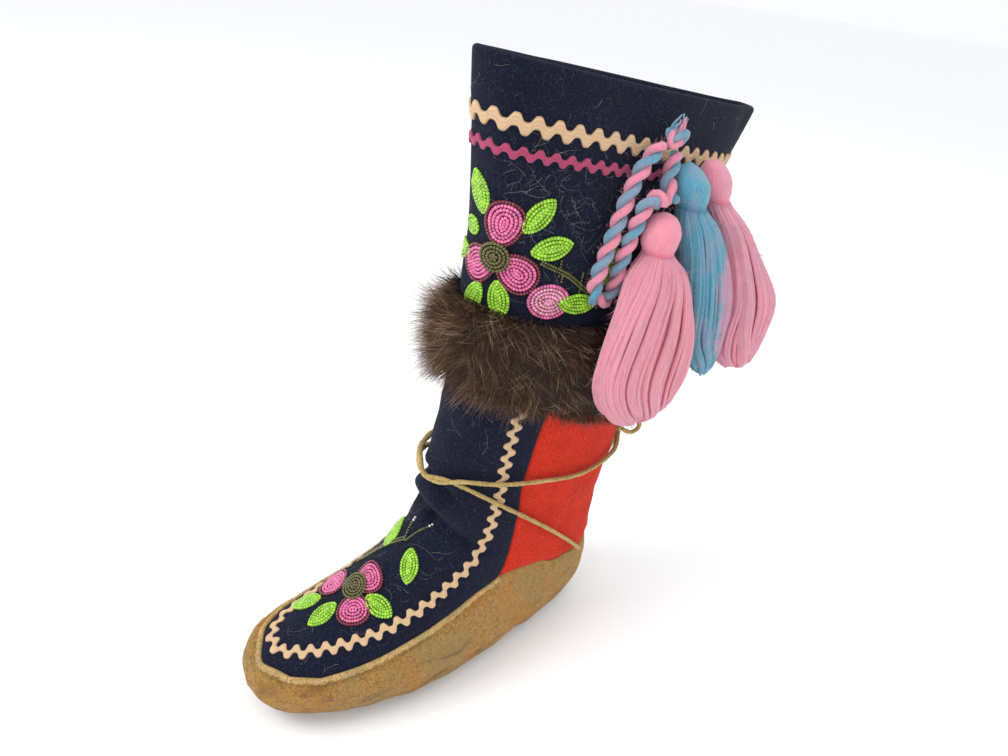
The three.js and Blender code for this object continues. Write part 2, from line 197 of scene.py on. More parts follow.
class MUKLUK_PG_sizes(bpy.types.PropertyGroup):
    """Sizes that a maker would change."""
    hide_thick: length("Hide thickness", 2.2, "Thickness of the smoked hide of the sole")
    wool_thick: length("Wool thickness", 1.5, "Thickness of the wool broadcloth")
    thong_wide: length("Thong width", 3.8, "Width of the hide thong round the ankle")
    cord_thick: length("Tassel cord", 8.4, "Diameter of the twisted two-ply cord")
    bead: length("Bead size", 1.95, "Diameter of a seed bead")
    fur_length: length("Fur length", 24, "Length of the longest fur at the middle of the band")
    fur_hairs: IntProperty(name="Fur hairs", description="Hairs in each layer of the fur",
                           default=20000, min=100)
    lint_hairs: IntProperty(name="Lint", description="Stray light hairs on the wool", default=1050, min=0)


class MUKLUK_PG_colours(bpy.types.PropertyGroup):
    """Colours that a maker would change."""
    navy: colour("Navy wool", "11162a", "Wool of the vamp and the shaft")
    red: colour("Red wool", "ce2d16", "Wool of the side panels")
    lining: colour("Lining", "b81c44", "Cloth inside the shaft")
    hide: colour("Hide", "a37c42", "Smoked hide of the sole")
    thong: colour("Thong", "b59a5e", "Hide thong of the ankle tie")
    cream: colour("Cream rickrack", "e2bd93", "Cotton rickrack of the vamp and the collar")
    pink_braid: colour("Pink rickrack", "b8456c", "Narrow rickrack under the cream one")
    pink_wool: colour("Pink yarn", "ec8fa3", "Yarn of the pink tassels")
    blue_wool: colour("Blue yarn", "3898b4", "Yarn of the blue tassel")
    bead_green: colour("Green beads", "9ad22f", "Leaves of the beadwork")
    bead_pink: colour("Pink beads", "e26c9f", "Petals of the beadwork")
    bead_red: colour("Dark red beads", "6d1429", "Outline of the petals")
    bead_olive: colour("Olive beads", "57561f", "Centres and stems of the beadwork")


def sizes():
    return bpy.context.scene.mukluk_sizes


def colours():
    return bpy.context.scene.mukluk_colours


# ---- The last's surface -------------------------------------------------------------------------

def between_rows(a, b, c, d, t):
    """A smooth curve's value between b and c at t from 0 to 1, with a before and d after them."""
    return b + .5 * t * (c - a + t * (2 * a - 5 * b + 4 * c - d + t * (3 * (b - c) + d - a)))


def form_point(ring, turn):
    """Points on the last in metres, for arrays of rings and turns."""
    ring, turn = np.broadcast_arrays(np.asarray(ring, float), np.asarray(turn, float))
    ring = np.clip(ring, 0, COLLAR)
    low = np.minimum(np.floor(ring).astype(int), COLLAR - 1)
    near = (FORM[np.clip(low + k, 0, COLLAR)] for k in (-1, 0, 1, 2))
    row = between_rows(*near, (ring - low)[..., None])
    angle = 2 * np.pi * turn
    square = np.where(np.cos(angle) > 0, row[..., LOW], row[..., HIGH])
    across = np.sign(np.sin(angle)) * np.abs(np.sin(angle)) ** (2 / square)
    rise = np.abs(np.cos(angle)) ** (2 / square)
    wide = row[..., WIDE]
    along = np.where(np.cos(angle) > 0, wide * (1 - rise), wide + (1 - wide) * rise)
    x = across * np.where(across > 0, row[..., OUTER], row[..., INNER])
    y = row[..., BACK_Y] + (row[..., FRONT_Y] - row[..., BACK_Y]) * along
    z = np.maximum(0, row[..., BACK_Z] + (row[..., FRONT_Z] - row[..., BACK_Z]) * along)
    return np.stack([x, y, z], -1) * MM


def unit(vectors):
    return vectors / np.maximum(np.linalg.norm(vectors, axis=-1, keepdims=True), 1e-12)


def form_normal(ring, turn):
    """The way out of the last at arrays of rings and turns."""
    step, swing = .02, .004
    ring, turn = np.broadcast_arrays(np.asarray(ring, float), np.asarray(turn, float))
    ahead = form_point(np.minimum(ring + step, COLLAR), turn) - form_point(np.maximum(ring - step, .02), turn)
    about = form_point(np.maximum(ring, .02), turn + swing) - form_point(np.maximum(ring, .02), turn - swing)
    return unit(np.cross(ahead, about))


def outside(ring, turn, millimetres):
    """Points that many millimetres off the last."""
    return form_point(ring, turn) + form_normal(ring, turn) * (np.asarray(millimetres)[..., None] * MM)


def smooth(points, count):
    """A soft curve through the points, with count points spaced evenly along it."""
    p = np.array(points, float)
    p = np.vstack([2 * p[0] - p[1], p, 2 * p[-1] - p[-2]])
    t = np.linspace(0, len(points) - 1, 24 * len(points))
    i = np.minimum(t.astype(int), len(points) - 2)
    return evenly(between_rows(p[i], p[i + 1], p[i + 2], p[i + 3], (t - i)[:, None]), count)


def evenly(points, count, values=None):
    """The points of a line, or the values at them, at count places spaced evenly along it."""
    values = points if values is None else values
    run = np.concatenate([[0], np.cumsum(np.linalg.norm(np.diff(points, axis=0), axis=1))])
    at = np.linspace(0, run[-1], count)
    return np.stack([np.interp(at, run, column) for column in values.T], -1)


def along_with(points, ways, count):
    """Points spaced evenly along a line, with their ways."""
    return evenly(points, count), unit(evenly(points, count, ways))


def run_length(points):
    return float(np.linalg.norm(np.diff(points, axis=0), axis=1).sum())


def ease(value, low, high):
    """0 below low, 1 above high and a soft step between."""
    t = np.clip((value - low) / (high - low), 0, 1)
    return t * t * (3 - 2 * t)


def bell(distance, width):
    """1 at no distance, and next to nothing at twice the width."""
    return np.exp(-(distance / width) ** 2)


def distance_to(points, line):
    """The distance from each point to a line of points, in metres."""
    best = np.full(len(points), 1e9)
    for a, b in zip(line[:-1], line[1:]):
        ab = b - a
        t = np.clip(((points - a) @ ab) / max(ab @ ab, 1e-18), 0, 1)
        best = np.minimum(best, np.linalg.norm(points - a - t[:, None] * ab, axis=1))
    return best


def edge_turn(ring):
    """Where the hide's edge crosses a ring between toe and seam."""
    rings, turns = np.array(TOE_EDGE).T
    return np.where(ring <= rings[0], .5, np.interp(ring, rings, turns))


def edge_ring(turn):
    """The ring that the hide's edge lies on behind the seams."""
    turns, rings = np.array(HEEL_EDGE).T
    return np.interp(np.abs(turn), turns, rings)


def edge_line(side):
    """The hide's edge from toe to heel on one side, 1 outer or -1 inner, as points."""
    rings = np.linspace(TOE_EDGE[0][0], PEAK, 60)
    turns = np.linspace(SEAM_TURN, 0, 40)
    return np.vstack([form_point(rings, side * edge_turn(rings)), form_point(edge_ring(turns), side * turns)])


def seam_line(side):
    """The side seam from the hide's peak up to the fur, 1 outer or -1 inner."""
    return form_point(np.linspace(PEAK, JOINT, 30), side * SEAM_TURN)


def smooth_route(route, count):
    """Points and normals on the last along a smooth route of (ring, turn) places."""
    line = smooth([(ring, turn * TURN_WEIGHT, 0) for ring, turn in route], count)
    place = (line[:, 0], line[:, 1] / TURN_WEIGHT)
    return form_point(*place), form_normal(*place)


def folds(ring, turn, points):
    """How far the wool stands off the last, in metres: the folds, and a slow waviness."""
    off = np.zeros(len(points))
    for (ring_a, turn_a), (ring_b, turn_b), width, depth in FOLDS:
        line = form_point(np.linspace(ring_a, ring_b, 7), np.linspace(turn_a, turn_b, 7))
        middle = line.mean(0)
        reach = np.linalg.norm(line[0] - line[-1]) / 2 + 3 * width * MM
        near = np.linalg.norm(points - middle, axis=1) < reach + 2 * width * MM
        if near.any():
            off[near] -= depth * MM * bell(distance_to(points[near], line), width * MM)
    wave = np.sin(ring * 2.1 + 5 * np.sin(2 * np.pi * turn)) * np.sin(2 * np.pi * 3 * turn + ring * .7)
    return off + .35 * MM * wave


def ripple(points, wavelength, seed):
    """A smooth random swell from -1 to 1, with waves of about the given length in millimetres."""
    rng = np.random.default_rng(seed)
    total = np.zeros(points.shape[:-1])
    waves = 9
    for _ in range(waves):
        way = unit(rng.normal(size=3)) * 2 * np.pi / (wavelength * MM * rng.uniform(.7, 1.4))
        total += np.sin(points @ way + rng.uniform(0, 6.3))
    return total / waves * 1.6


# ---- Meshes -------------------------------------------------------------------------------------

def select_only(piece):
    bpy.ops.object.select_all(action="DESELECT")
    piece.select_set(True)
    bpy.context.view_layer.objects.active = piece


def laid_grid(name, rows):
    """A grid laid on rows of points. Its seams and poles are merged; rows cross columns points out."""
    bpy.ops.object.select_all(action="DESELECT")
    count, across = rows.shape[:2]
    bpy.ops.mesh.primitive_grid_add(x_subdivisions=count - 1, y_subdivisions=across - 1, size=2)
    piece = bpy.context.object
    piece.name = piece.data.name = name
    flat = np.empty(3 * len(piece.data.vertices), np.float32)
    piece.data.vertices.foreach_get("co", flat)
    share = (flat.reshape(-1, 3)[:, :2] + 1) / 2
    i = np.rint(share[:, 0] * (count - 1)).astype(int)
    j = np.rint(share[:, 1] * (across - 1)).astype(int)
    piece.data.vertices.foreach_set("co", rows[i, j].astype(np.float32).ravel())
    edit_whole(bpy.ops.mesh.remove_doubles, threshold=2e-6)
    return piece


def edit_whole(operation, **settings):
    """Runs an Edit Mode operation on all of the active piece."""
    bpy.ops.object.mode_set(mode="EDIT")
    bpy.ops.mesh.select_all(action="SELECT")
    operation(**settings)
    bpy.ops.object.mode_set(mode="OBJECT")


def capped(rows):
    """Rows with both ends drawn together to a point."""
    ends = [np.repeat(rows[k].mean(0)[None, None], rows.shape[1], 1) for k in (0, -1)]
    return np.concatenate([ends[0], rows, ends[1]])


def grid(first, second):
    return np.meshgrid(first, second, indexing="ij")


def wall(piece, thick):
    """Gives a sheet its thickness, inwards."""
    select_only(piece)
    bpy.ops.object.modifier_add(type="SOLIDIFY")
    made = piece.modifiers[-1]
    made.thickness = thick
    made.offset = -1
    made.use_quality_normals = True
    bpy.ops.object.modifier_apply(modifier=made.name)
    return piece


def raw_mesh(name, vertices, faces):
    """A new object from an array of points and an array of faces, all with equally many corners."""
    mesh = bpy.data.meshes.new(name)
    mesh.vertices.add(len(vertices))
    mesh.vertices.foreach_set("co", np.ascontiguousarray(vertices, np.float32).ravel())
    corners = faces.shape[1]
    mesh.loops.add(faces.size)
    mesh.loops.foreach_set("vertex_index", np.ascontiguousarray(faces, np.int32).ravel())
    mesh.polygons.add(len(faces))
    mesh.polygons.foreach_set("loop_start", np.arange(0, faces.size, corners, dtype=np.int32))
    mesh.update(calc_edges=True)
    mesh.validate()
    piece = bpy.data.objects.new(name, mesh)
    bpy.context.scene.collection.objects.link(piece)
    return piece


def mark(piece, name, values):
    """Writes one number for each point, or one for all, which a finish can read."""
    made = piece.data.attributes.new(name, "FLOAT", "POINT")
    values = np.broadcast_to(values, (len(piece.data.vertices),))
    made.data.foreach_set("value", np.ascontiguousarray(values, np.float32))


def keep(piece, finish, slot, *replaced, smoothly=True):
    """Gives a finished piece its material and its body, and hides the CAD nodes it stands for."""
    piece.data.materials.clear()
    piece.data.materials.append(finish)
    select_only(piece)
    if smoothly:
        bpy.ops.object.shade_smooth()
    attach(piece, "root")
    if replaced:
        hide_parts(*replaced)
    return piece


def side_frame(path):
    """Two directions across a path at each of its points, turning as little as they can."""
    ahead = unit(np.gradient(path, axis=0))
    start = np.cross(ahead[0], (0, 0, 1.0))
    if np.linalg.norm(start) < .2:
        start = np.cross(ahead[0], (0, 1.0, 0))
    sides = [unit(start)]
    for k in range(1, len(path)):
        sides.append(unit(sides[-1] - ahead[k] * (sides[-1] @ ahead[k])))
    sides = np.array(sides)
    return sides, np.cross(ahead, sides)


def tube(name, path, radius, sides=12, flat=1.0):
    """A closed round cord along a path. radius is one number or one for each point; flat squashes it."""
    side, up = side_frame(path)
    reach = np.broadcast_to(radius, (len(path),))[:, None, None]
    angle = np.linspace(0, 2 * np.pi, sides + 1)[None, :, None]
    ring = np.cos(angle) * side[:, None] + flat * np.sin(angle) * up[:, None]
    rows = path[:, None] + reach * ring
    ends = [np.repeat(path[k][None, None], sides + 1, 1) for k in (0, -1)]
    return laid_grid(name, np.concatenate([ends[0], rows, ends[1]]))


def hairs(name, paths, thick, tones=None, sides=3, profile=None):
    """Many fine hairs or yarns in one mesh. thick is a radius; profile says how it changes on the way."""
    count, steps = paths.shape[:2]
    ahead = unit(np.gradient(paths, axis=1))
    rng = np.random.default_rng(SEED + count)
    side = unit(np.cross(ahead, rng.normal(size=(count, 1, 3))))
    up = np.cross(ahead, side)
    if profile is None:
        profile = np.linspace(1, .25, steps)
    angle = (np.arange(sides) * 2 * np.pi / sides)[None, None, :, None]
    wide = np.broadcast_to(thick, (count,))[:, None, None, None] * profile[None, :, None, None]
    ring = np.cos(angle) * side[:, :, None] + np.sin(angle) * up[:, :, None]
    body = (paths[:, :, None] + wide * ring)[:, :-1].reshape(count, -1, 3)
    points = np.concatenate([body, paths[:, -1:]], 1)
    each = points.shape[1]
    faces = []
    for k in range(steps - 2):
        for s in range(sides):
            a, b = sides * k + s, sides * k + (s + 1) % sides
            faces += [(a, b, b + sides), (a, b + sides, a + sides)]
    top = sides * (steps - 2)
    faces += [(top + s, top + (s + 1) % sides, each - 1) for s in range(sides)]
    faces += [(0, s + 1, s) for s in range(1, sides - 1)]
    faces = (np.array(faces)[None] + each * np.arange(count)[:, None, None]).reshape(-1, 3)
    piece = raw_mesh(name, points.reshape(-1, 3), faces)
    along = np.concatenate([np.repeat(np.linspace(0, 1, steps)[:-1], sides), [1]])
    mark(piece, "along", np.tile(along, count))
    if tones is None:
        tones = rng.random(count)
    mark(piece, "tone", np.repeat(tones, each))
    return piece


def joined(name, pieces):
    """Joins pieces into one object."""
    bpy.ops.object.select_all(action="DESELECT")
    for piece in pieces:
        piece.select_set(True)
    bpy.context.view_layer.objects.active = pieces[0]
    if len(pieces) > 1:
        bpy.ops.object.join()
    made = bpy.context.view_layer.objects.active
    made.name = made.data.name = name
    return made


def boot_skin(*names):
    """The finished faces of the named pieces, for laying trims on."""
    points, faces = [], []
    for name in names:
        mesh = bpy.data.objects[name].data
        start = len(points)
        points += [v.co.copy() for v in mesh.vertices]
        faces += [[start + k for k in p.vertices] for p in mesh.polygons]
    return BVHTree.FromPolygons(points, faces)


def dropped(skin, points, ways, lift):
    """Points moved along their ways onto the skin and lifted off it, with the skin's normals."""
    high = .012
    where, normals = [], []
    for point, way in zip(points, ways):
        way = Vector(way)
        hit, normal, _, _ = skin.ray_cast(Vector(point) + way * high, -way, 2.5 * high)
        if hit is None:
            hit, normal, _, _ = skin.find_nearest(Vector(point))
        if normal @ way < 0:
            normal = -normal
        where.append(hit)
        normals.append(normal)
    where, normals = np.array(where), np.array(normals)
    return where + normals * np.asarray(lift).reshape(-1, 1), normals


# ---- Finishes -----------------------------------------------------------------------------------

class Wire:
    """A number that changes over a surface. Arithmetic on it adds Math nodes."""

    def __init__(self, finish, socket):
        self.finish = finish
        self.socket = socket

    def __add__(self, other):
        return self.finish.maths("ADD", self, other)

    def __sub__(self, other):
        return self.finish.maths("SUBTRACT", self, other)

    def __rsub__(self, other):
        return self.finish.maths("SUBTRACT", other, self)

    def __mul__(self, other):
        return self.finish.maths("MULTIPLY", self, other)

    __radd__ = __add__
    __rmul__ = __mul__


class Finish:
    """One procedural material: a Principled shader and the nodes that vary it."""

    def __init__(self, name, **fixed):
        self.material = bpy.data.materials.new(name)
        self.material.use_nodes = True
        self.tree = self.material.node_tree
        self.shader = self.tree.nodes["Principled BSDF"]
        for socket, value in fixed.items():
            self.shader.inputs[socket.replace("_", " ")].default_value = value
        self.place = self.node("ShaderNodeTexCoord", output="Object")

    def node(self, kind, settings=(), inputs=(), output=0):
        """Adds a node. Settings are set first, then its sockets get their values or wires."""
        made = self.tree.nodes.new(kind)
        for name, value in dict(settings).items():
            if name == "stops":
                self.stops(made.color_ramp, value)
            else:
                setattr(made, name, value)
        for name, value in dict(inputs).items():
            self.feed(made.inputs[name], value)
        return Wire(self, made.outputs[output])

    def stops(self, ramp, stops):
        while len(ramp.elements) < len(stops):
            ramp.elements.new(1)
        for element, (position, shade) in zip(ramp.elements, stops):
            element.position = position
            element.color = (*shade, 1)

    def feed(self, socket, value):
        if isinstance(value, Wire):
            self.tree.links.new(value.socket, socket)
        elif socket.type == "RGBA" and len(value) == 3:
            socket.default_value = (*value, 1)
        else:
            socket.default_value = value

    def maths(self, operation, *values):
        return self.node("ShaderNodeMath", {"operation": operation}, dict(enumerate(values)))

    def noise(self, size, detail=3.0, rough=.55, twist=0.0, place=None):
        """Noise with lumps of about the given size in millimetres, from 0 to 1."""
        return self.node("ShaderNodeTexNoise", {}, {
            "Vector": place or self.place, "Scale": 1 / (size * MM), "Detail": detail, "Roughness": rough,
            "Distortion": twist})

    def stretched(self, x, y, z):
        """The place with each axis multiplied, to draw a pattern out."""
        return self.node("ShaderNodeMapping", {}, {"Vector": self.place, "Scale": (x, y, z)})

    def warped(self, size, reach):
        """The place pushed about by noise of a size, by up to reach, both in millimetres."""
        push = self.node("ShaderNodeTexNoise", {}, {"Vector": self.place, "Scale": 1 / (size * MM)},
                         output="Color")
        scaled = self.node("ShaderNodeVectorMath", {"operation": "SCALE"}, {0: push, "Scale": reach * MM})
        return self.node("ShaderNodeVectorMath", {"operation": "ADD"}, {0: self.place, 1: scaled})

    def between(self, value, low, high):
        """0 where the value is below low and 1 where it is above high, softly."""
        return self.node("ShaderNodeMapRange", {"interpolation_type": "SMOOTHSTEP"},
                         {"Value": value, "From Min": low, "From Max": high})

    def attribute(self, name):
        return self.node("ShaderNodeAttribute", {"attribute_name": name}, output="Fac")

    def mix(self, first, second, share):
        """Two colours mixed, with share from 0 to 1 of the second."""
        return self.node("ShaderNodeMix", {"data_type": "RGBA", "clamp_result": True},
                         {0: share, 6: first, 7: second}, output=2)

    def height(self):
        """How high the place is above the floor, in metres."""
        return self.node("ShaderNodeSeparateXYZ", {}, {0: self.place}, output="Z")

    def bump(self, height, depth):
        """Dents the surface by a height from 0 to 1, of a depth in millimetres."""
        return self.node("ShaderNodeBump", {}, {"Height": height, "Distance": depth * MM, "Strength": 1.0})

    def wear(self, base, normal=None):
        """Joins the finished colour and bump to the shader."""
        self.feed(self.shader.inputs["Base Color"], base)
        if normal is not None:
            self.feed(self.shader.inputs["Normal"], normal)
        return self.material


def shaded(base, factor):
    """A colour made darker or lighter."""
    return tuple(min(1, c * factor) for c in base)


def blended(first, second, share):
    return tuple(a + (b - a) * share for a, b in zip(first, second))


def wool_cloth(name, base, light):
    """Fulled broadcloth: a short felted nap with paler fibres lying all ways."""
    base = tuple(base)
    cloth = Finish(name, Roughness=.95, Sheen_Weight=.16, Sheen_Roughness=.45,
                   Sheen_Tint=(*blended(base, (1, 1, 1), .3), 1), Specular_IOR_Level=.15)
    nap = cloth.noise(.95, 5, .7, 1.1)
    cloudy = cloth.noise(14, 3)
    fibres = cloth.node("ShaderNodeTexVoronoi", {"feature": "DISTANCE_TO_EDGE"},
                        {"Vector": cloth.warped(3, 2.4), "Scale": 420})
    thread = 1 - cloth.between(fibres, .0, .05)
    tone = cloth.mix(shaded(base, .55), shaded(base, 1.6), cloth.between(nap, .3, .72))
    tone = cloth.mix(tone, shaded(base, .8), cloth.between(cloudy, .45, .7) * .6)
    tone = cloth.mix(tone, light, thread * cloth.between(nap, .45, .75) * .4)
    lumpy = cloth.noise(3.5, 2)
    return cloth.wear(tone, cloth.bump(nap + thread * .25 + lumpy * .5, .7))


def smoked_hide(name, base, dirt):
    """Smoked hide, rough side out: short worm-like nap, ochre and brown patches, dirt low down."""
    base = tuple(base)
    hide = Finish(name, Roughness=.92, Sheen_Weight=.25, Sheen_Roughness=.6,
                  Sheen_Tint=(*blended(base, (1, 1, 1), .3), 1), Specular_IOR_Level=.2)
    nap = hide.noise(1.9, 5, .75, 1.6)
    fine = hide.noise(.6, 3, .6, .5)
    patches = hide.noise(34, 3, .5, .6)
    stains = hide.noise(17, 2.5, .55, .5, hide.stretched(1, .6, 2.2))
    tone = hide.mix(shaded(base, .48), shaded(base, 1.5), hide.between(nap, .34, .66))
    tone = hide.mix(tone, paint("b9782a"), hide.between(patches, .48, .66) * .36)
    tone = hide.mix(tone, paint("8d8254"), hide.between(patches, .47, .36) * .35)
    low = 1 - hide.between(hide.height() + stains * .022, .012, .034)
    tone = hide.mix(tone, shaded(paint("54432c"), .9), low * dirt * .8)
    smudge = hide.between(stains, .5, .72) * (1 - hide.between(hide.height(), .028, .055))
    tone = hide.mix(tone, paint("46382a"), smudge * dirt * .7)
    tone = hide.mix(tone, shaded(base, .45), hide.between(fine, .6, .75) * .3)
    return hide.wear(tone, hide.bump(nap + fine * .5, .9))


def hair_finish(name, root, body, tip, gloss):
    """Animal hair: dark at the root, with some hairs paler towards the tip."""
    hair = Finish(name, Roughness=gloss, Specular_IOR_Level=.45)
    along = hair.attribute("along")
    tone = hair.attribute("tone")
    shade = hair.mix(root, body, hair.between(along, .1, .7))
    shade = hair.mix(shade, shaded(body, 1.7), hair.between(tone, .35, 1) * .5)
    shade = hair.mix(shade, tip, hair.between(along * .55 + tone * .75, .78, 1.12))
    return hair.wear(shade)


def yarn(name, base, other, share, second=None):
    """Loose carded wool. Where the yarn's own mark is high, the other colour is carded in."""
    base, other = tuple(base), tuple(other)
    deep = tuple(c ** 1.32 for c in base)
    wool = Finish(name, Roughness=.95, Sheen_Weight=.7, Sheen_Roughness=.4,
                  Sheen_Tint=(*blended(base, (1, 1, 1), .6), 1), Specular_IOR_Level=.25,
                  Subsurface_Weight=.12, Subsurface_Scale=.004)
    streak = wool.noise(1.0, 3, .6, .4, wool.stretched(1.6, 1.6, .22))
    cloudy = wool.noise(11, 2, .5, .5, wool.stretched(1, 1, .45))
    carded = wool.noise(4.5, 4, .7, 1.5)
    tone = wool.attribute("tone")
    fibre = wool.noise(.45, 2, .6, .8, wool.stretched(1.3, 1.3, .5))
    # Painted shade and light: the deep colour goes where the tone mark is low, which the tassels set at the
    # neck, on the core under the locks and at the locks' edges; the streak and fibre noise is the yarn's own
    # variation.
    lit = wool.between(streak * .55 + fibre * .25 + tone * .35, .3, .75)
    shade = wool.mix(deep, blended(base, (1, 1, 1), .1), lit)
    if share:
        shade = wool.mix(shade, other, wool.between(cloudy, .5 - share / 2, .62) * share)
    if second:
        mark_in = wool.attribute("blend")
        shade = wool.mix(shade, second, wool.between(mark_in + carded * .62, .72, .92))
    return wool.wear(shade, wool.bump(streak + fibre * .6, .6))


def woven_braid(name, base, under):
    """Cotton rickrack: a slanting plait across, and scallops that let a little cloth show through."""
    base = tuple(base)
    braid = Finish(name, Roughness=.8, Sheen_Weight=.2, Specular_IOR_Level=.3)
    along, across = braid.attribute("along"), braid.attribute("across")
    lane = braid.attribute("lane")
    slant = braid.maths("SINE", along * 4.2 + lane * 5)
    ridge = braid.maths("SINE", along * 4.2 - lane * 5)
    plait = (slant * ridge) * .5 + .5
    fuzz = braid.noise(.6, 3)
    shade = braid.mix(shaded(base, .62), shaded(base, 1.1), plait * .7 + fuzz * .4)
    shade = braid.mix(shade, under, braid.between(across, .45, .95) * .38)
    # Painted shade: the braid's outer edges, where it meets the cloth, are painted darker.
    shade = braid.mix(shade, shaded(base, .55), braid.between(lane, .62, 1.05) * .55)
    shade = braid.mix(shade, shaded(base, .7), braid.between(braid.noise(9, 3), .55, .75) * .35)
    return braid.wear(shade, braid.bump(plait + fuzz * .3, .3))


def glass_bead(name, base, rough=.16):
    """Seed beads of opaque glass, each a little different."""
    base = tuple(base)
    glass = Finish(name, Roughness=rough, Coat_Weight=.35, Coat_Roughness=.08, Specular_IOR_Level=.6)
    tone = glass.attribute("tone")
    return glass.wear(glass.mix(shaded(base, .68), shaded(base, 1.2), tone))


def hide_thong(name, base):
    """A cut thong: matt sides, paler rubbed patches and small dark nicks."""
    base = tuple(base)
    thong = Finish(name, Roughness=.85, Sheen_Weight=.15, Specular_IOR_Level=.25)
    grain = thong.noise(1.3, 4, .65, .6)
    worn = thong.noise(12, 2)
    shade = thong.mix(shaded(base, .55), shaded(base, 1.2), thong.between(grain, .3, .66))
    shade = thong.mix(shade, paint("cdb679"), thong.between(worn, .5, .7) * .45)
    shade = thong.mix(shade, paint("6f5a2f"), thong.between(grain, .7, .8) * .5)
    return thong.wear(shade, thong.bump(grain, .45))


def pressed_felt(name, base):
    felt = Finish(name, Roughness=.95, Sheen_Weight=.2)
    nap = felt.noise(.9, 4, .6, 1)
    shade = felt.mix(shaded(base, .7), shaded(base, 1.1), felt.between(nap, .3, .7))
    return felt.wear(shade, felt.bump(nap, .4))


# ---- Pieces -------------------------------------------------------------------------------------

def boot_rows(rings, turns):
    """Rows of points on the boot's outside for matching grids of rings and turns."""
    shape = rings.shape
    ring, turn = rings.ravel(), turns.ravel()
    points = form_point(ring, turn)
    off = folds(ring, turn, points)
    for side in (1, -1):
        off -= .7 * MM * bell(distance_to(points, seam_line(side)[::3]), 1.3 * MM)
        off -= .9 * MM * bell(distance_to(points, edge_line(side)[::3]), 2.2 * MM)
    points = points + form_normal(ring, turn) * off[:, None]
    return points.reshape(*shape, 3)


def hide_rows(rings, turns):
    """Rows of points on the hide: it puffs out under its sewn edge, in small gathers."""
    shape = rings.shape
    ring, turn = rings.ravel(), turns.ravel()
    points = form_point(ring, turn)
    normals = form_normal(ring, turn)
    off = .8 * MM * ripple(points, 34, 3) + .35 * MM * ripple(points, 13, 4)
    welted = ease(PEAK - ring, 0, .8)
    samples, pitch = 260, 5.2
    for side in (1, -1):
        line = evenly(edge_line(side), samples)
        nearest = np.array([np.argmin(((line - p) ** 2).sum(1)) for p in points])
        away = np.linalg.norm(points - line[nearest], axis=1) / MM
        run = nearest * run_length(line) / (samples - 1) / MM
        mine = np.where(turn * side >= 0, 1.0, 0.0)
        gather = np.sin(run * 2 * np.pi / pitch + 1.6 * np.sin(run / 7.3)) * (.6 + .4 * np.sin(run / 11))
        off += mine * MM * (gather * .42 * bell(away - 8, 4.5) * welted)
        off -= mine * MM * 1.5 * bell(away - 5, 1.15) * welted
        off += mine * MM * 1.3 * bell(away - 10, 5) * (.35 + .65 * welted)
        off -= mine * MM * 1.0 * bell(away, 1.5)
    off *= ease(points[:, 2], .001, .008)
    points = points + normals * off[:, None]
    points[:, 2] = np.maximum(points[:, 2], 0)
    return points.reshape(*shape, 3)


def make_hide_sole():
    """The hide: sole, sides and heel in one gathered sheet."""
    share = np.linspace(-1, 1, 141)
    toe = np.concatenate([[0, .05, .15], np.linspace(.3, PEAK, 82)])
    rings, across = grid(toe, share)
    front = hide_rows(rings, across * edge_turn(rings))
    lift, across = grid(np.linspace(0, 1, 36), share)
    turns = across * SEAM_TURN
    back = hide_rows(PEAK + (edge_ring(turns) - PEAK) * lift, turns)
    piece = laid_grid("sole_hide", np.concatenate([front, back[1:]]))
    wall(piece, sizes().hide_thick)
    return keep(piece, smoked_hide("smoked_hide", colours().hide, .8), "hide", "sole")


def make_welt():
    """The pale strip of hide sewn in between the vamp and the sole."""
    finish = smoked_hide("welt_hide", blended(colours().hide, paint("c8aa72"), .75), .2)
    line = []
    for side in (1, -1):
        rings = TOE_EDGE[0][0] + (PEAK - TOE_EDGE[0][0]) * np.linspace(0, 1, 150) ** 1.6
        turns = side * edge_turn(rings)
        edge = form_point(rings, turns)
        ahead = unit(np.gradient(edge, axis=0))
        normal = form_normal(rings, turns)
        down = unit(np.cross(ahead, normal)) * side
        down *= np.sign(-down[:, 2:3])
        line.append((edge, normal, down, ahead))
    joinedup = [np.concatenate([a[::-1], b[1:]]) for a, b in zip(line[1], line[0])]
    edge, normal, down = joinedup[:3]
    for _ in range(4):
        down[1:-1] = unit(down[1:-1] + down[:-2] + down[2:])
    run = np.arange(len(edge)) * run_length(edge) / len(edge) / MM
    wobble = .35 * np.sin(run * 1.25 + np.sin(run / 5)) + .2 * np.sin(run * .5)
    profile = ((-.4, -.9), (.1, .3), (.8, .85), (1.6, 1.05), (2.5, .9), (3.3, .3), (3.8, -1.1))
    rows = [edge + down * ((a + wobble * (a > 2)) * MM)[:, None] + normal * ((b + .12 * wobble) * MM)[:, None]
            for a, b in ((np.full(len(edge), p), q) for p, q in profile)]
    piece = laid_grid("welt_strip", capped(np.stack([*rows, rows[0]], 1)))
    select_only(piece)
    edit_whole(bpy.ops.mesh.normals_make_consistent, inside=False)
    return keep(piece, finish, "hide")


